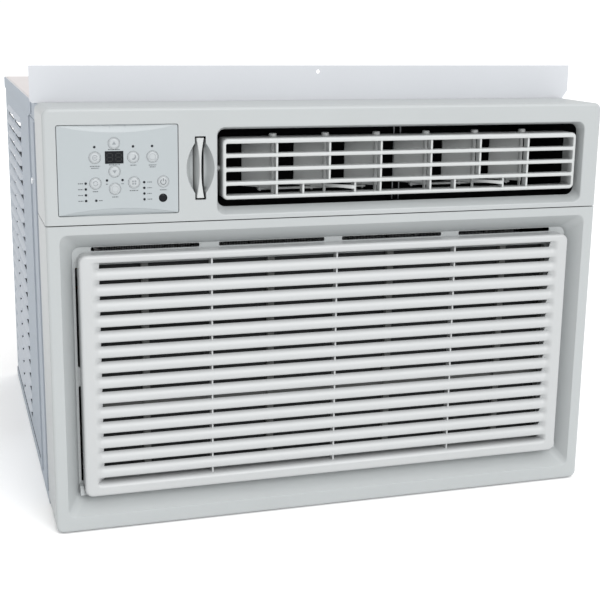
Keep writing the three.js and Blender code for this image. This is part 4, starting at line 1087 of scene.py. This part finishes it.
# ---------- carried-over nodes ----------
def dress(node, material, width=0.4, angle=30):
    """Keeps a frame node's mesh, rounds its edges a little and gives it its finish."""
    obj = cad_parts[node]
    obj.data.materials.clear()
    obj.data.materials.append(material)
    flat = obj.modifiers.new("flat", "DECIMATE")
    flat.decimate_type = "DISSOLVE"
    flat.angle_limit = math.radians(1)
    if width:
        edge = obj.modifiers.new("edge", "BEVEL")
        edge.width = width * MM
        edge.segments = 2
        edge.limit_method = "ANGLE"
        edge.angle_limit = math.radians(angle)
        edge.harden_normals = False
    smoothing = obj.modifiers.new("weighted", "WEIGHTED_NORMAL")
    smoothing.keep_sharp = True


def dress_nodes(m):
    plan = {
        "paint": ("side_rail_left", "side_rail_right"),
        "angle": ("top_mounting_angle",),
        "galvanised": ("base_pan", "air_partition", "motor_bracket", "condenser_shroud", "control_box",
                       "vent_door", "fan_shaft"),
        "screw": ("rail_screw_left", "rail_screw_right"),
        "filter": ("filter_frame",),
        "net": ("filter_mesh",),
        "louver": ("vane_link_left", "vane_link_right"),
        "lamp": ("light_guide",),
        "board": ("control_board",),
        "coil_block": ("evaporator_coil",),
        # Near-black painted shade for the air passages.
        "foam": ("drain_pan", "blower_scroll", "outlet_duct"),
        "black": ("blower_wheel", "condenser_fan"),
        "black_paint": ("compressor", "suction_accumulator"),
        "motor": ("fan_motor", "run_capacitor"),
        "copper": ("discharge_tube", "suction_tube", "capillary_tube"),
        "rubber": ("compressor_grommet_1", "compressor_grommet_2", "compressor_grommet_3", "cord_bushing"),
    }
    for key, names in plan.items():
        for name in names:
            dress(name, m[key], width=0 if key in ("copper", "net") else 0.35)


# ---------- stage ----------
def build_stage():
    floor_mesh = bpy.data.meshes.new("floor")
    size = 40.0
    corners = [(-size, -size, 0), (size, -size, 0), (size, size, 0), (-size, size, 0)]
    floor_mesh.from_pydata(corners, [], [(0, 1, 2, 3)])
    floor = bpy.data.objects.new("floor", floor_mesh)
    bpy.context.scene.collection.objects.link(floor)
    floor.location.z = -0.0005
    floor_mesh.materials.append(make_material("floor_paint", (0.9, 0.9, 0.9), 0.8, tint=0.005))
    world = bpy.data.worlds.new("studio")
    world.use_nodes = True
    world.node_tree.nodes["Background"].inputs["Color"].default_value = (1, 1, 1, 1)
    world.node_tree.nodes["Background"].inputs["Strength"].default_value = 1.05
    bpy.context.scene.world = world
    add_sun("key", (0.25, -1.0, 0.6), 1.85, 40)
    add_sun("overhead", (0.05, -0.1, 1.0), 0.65, 70)
    bpy.context.scene.view_settings.view_transform = "Standard"


def add_sun(name, towards, strength, spread):
    """A broad soft light from one direction."""
    data = bpy.data.lights.new(name, "SUN")
    data.energy = strength
    data.angle = math.radians(spread)
    light = bpy.data.objects.new(name, data)
    light.rotation_euler = Vector(towards).to_track_quat("Z", "Y").to_euler()
    bpy.context.scene.collection.objects.link(light)


def main():
    build_camera()
    build_stage()
    m = build_materials()
    build_upper_front(m)
    build_lower_front(m)
    build_grille(m)
    build_louver(m)
    build_vanes(m)
    build_panel(m)
    build_buttons(m)
    build_vent_pull(m)
    build_sleeve(m)
    build_guard(m)
    build_condenser(m)
    dress_nodes(m)


main()
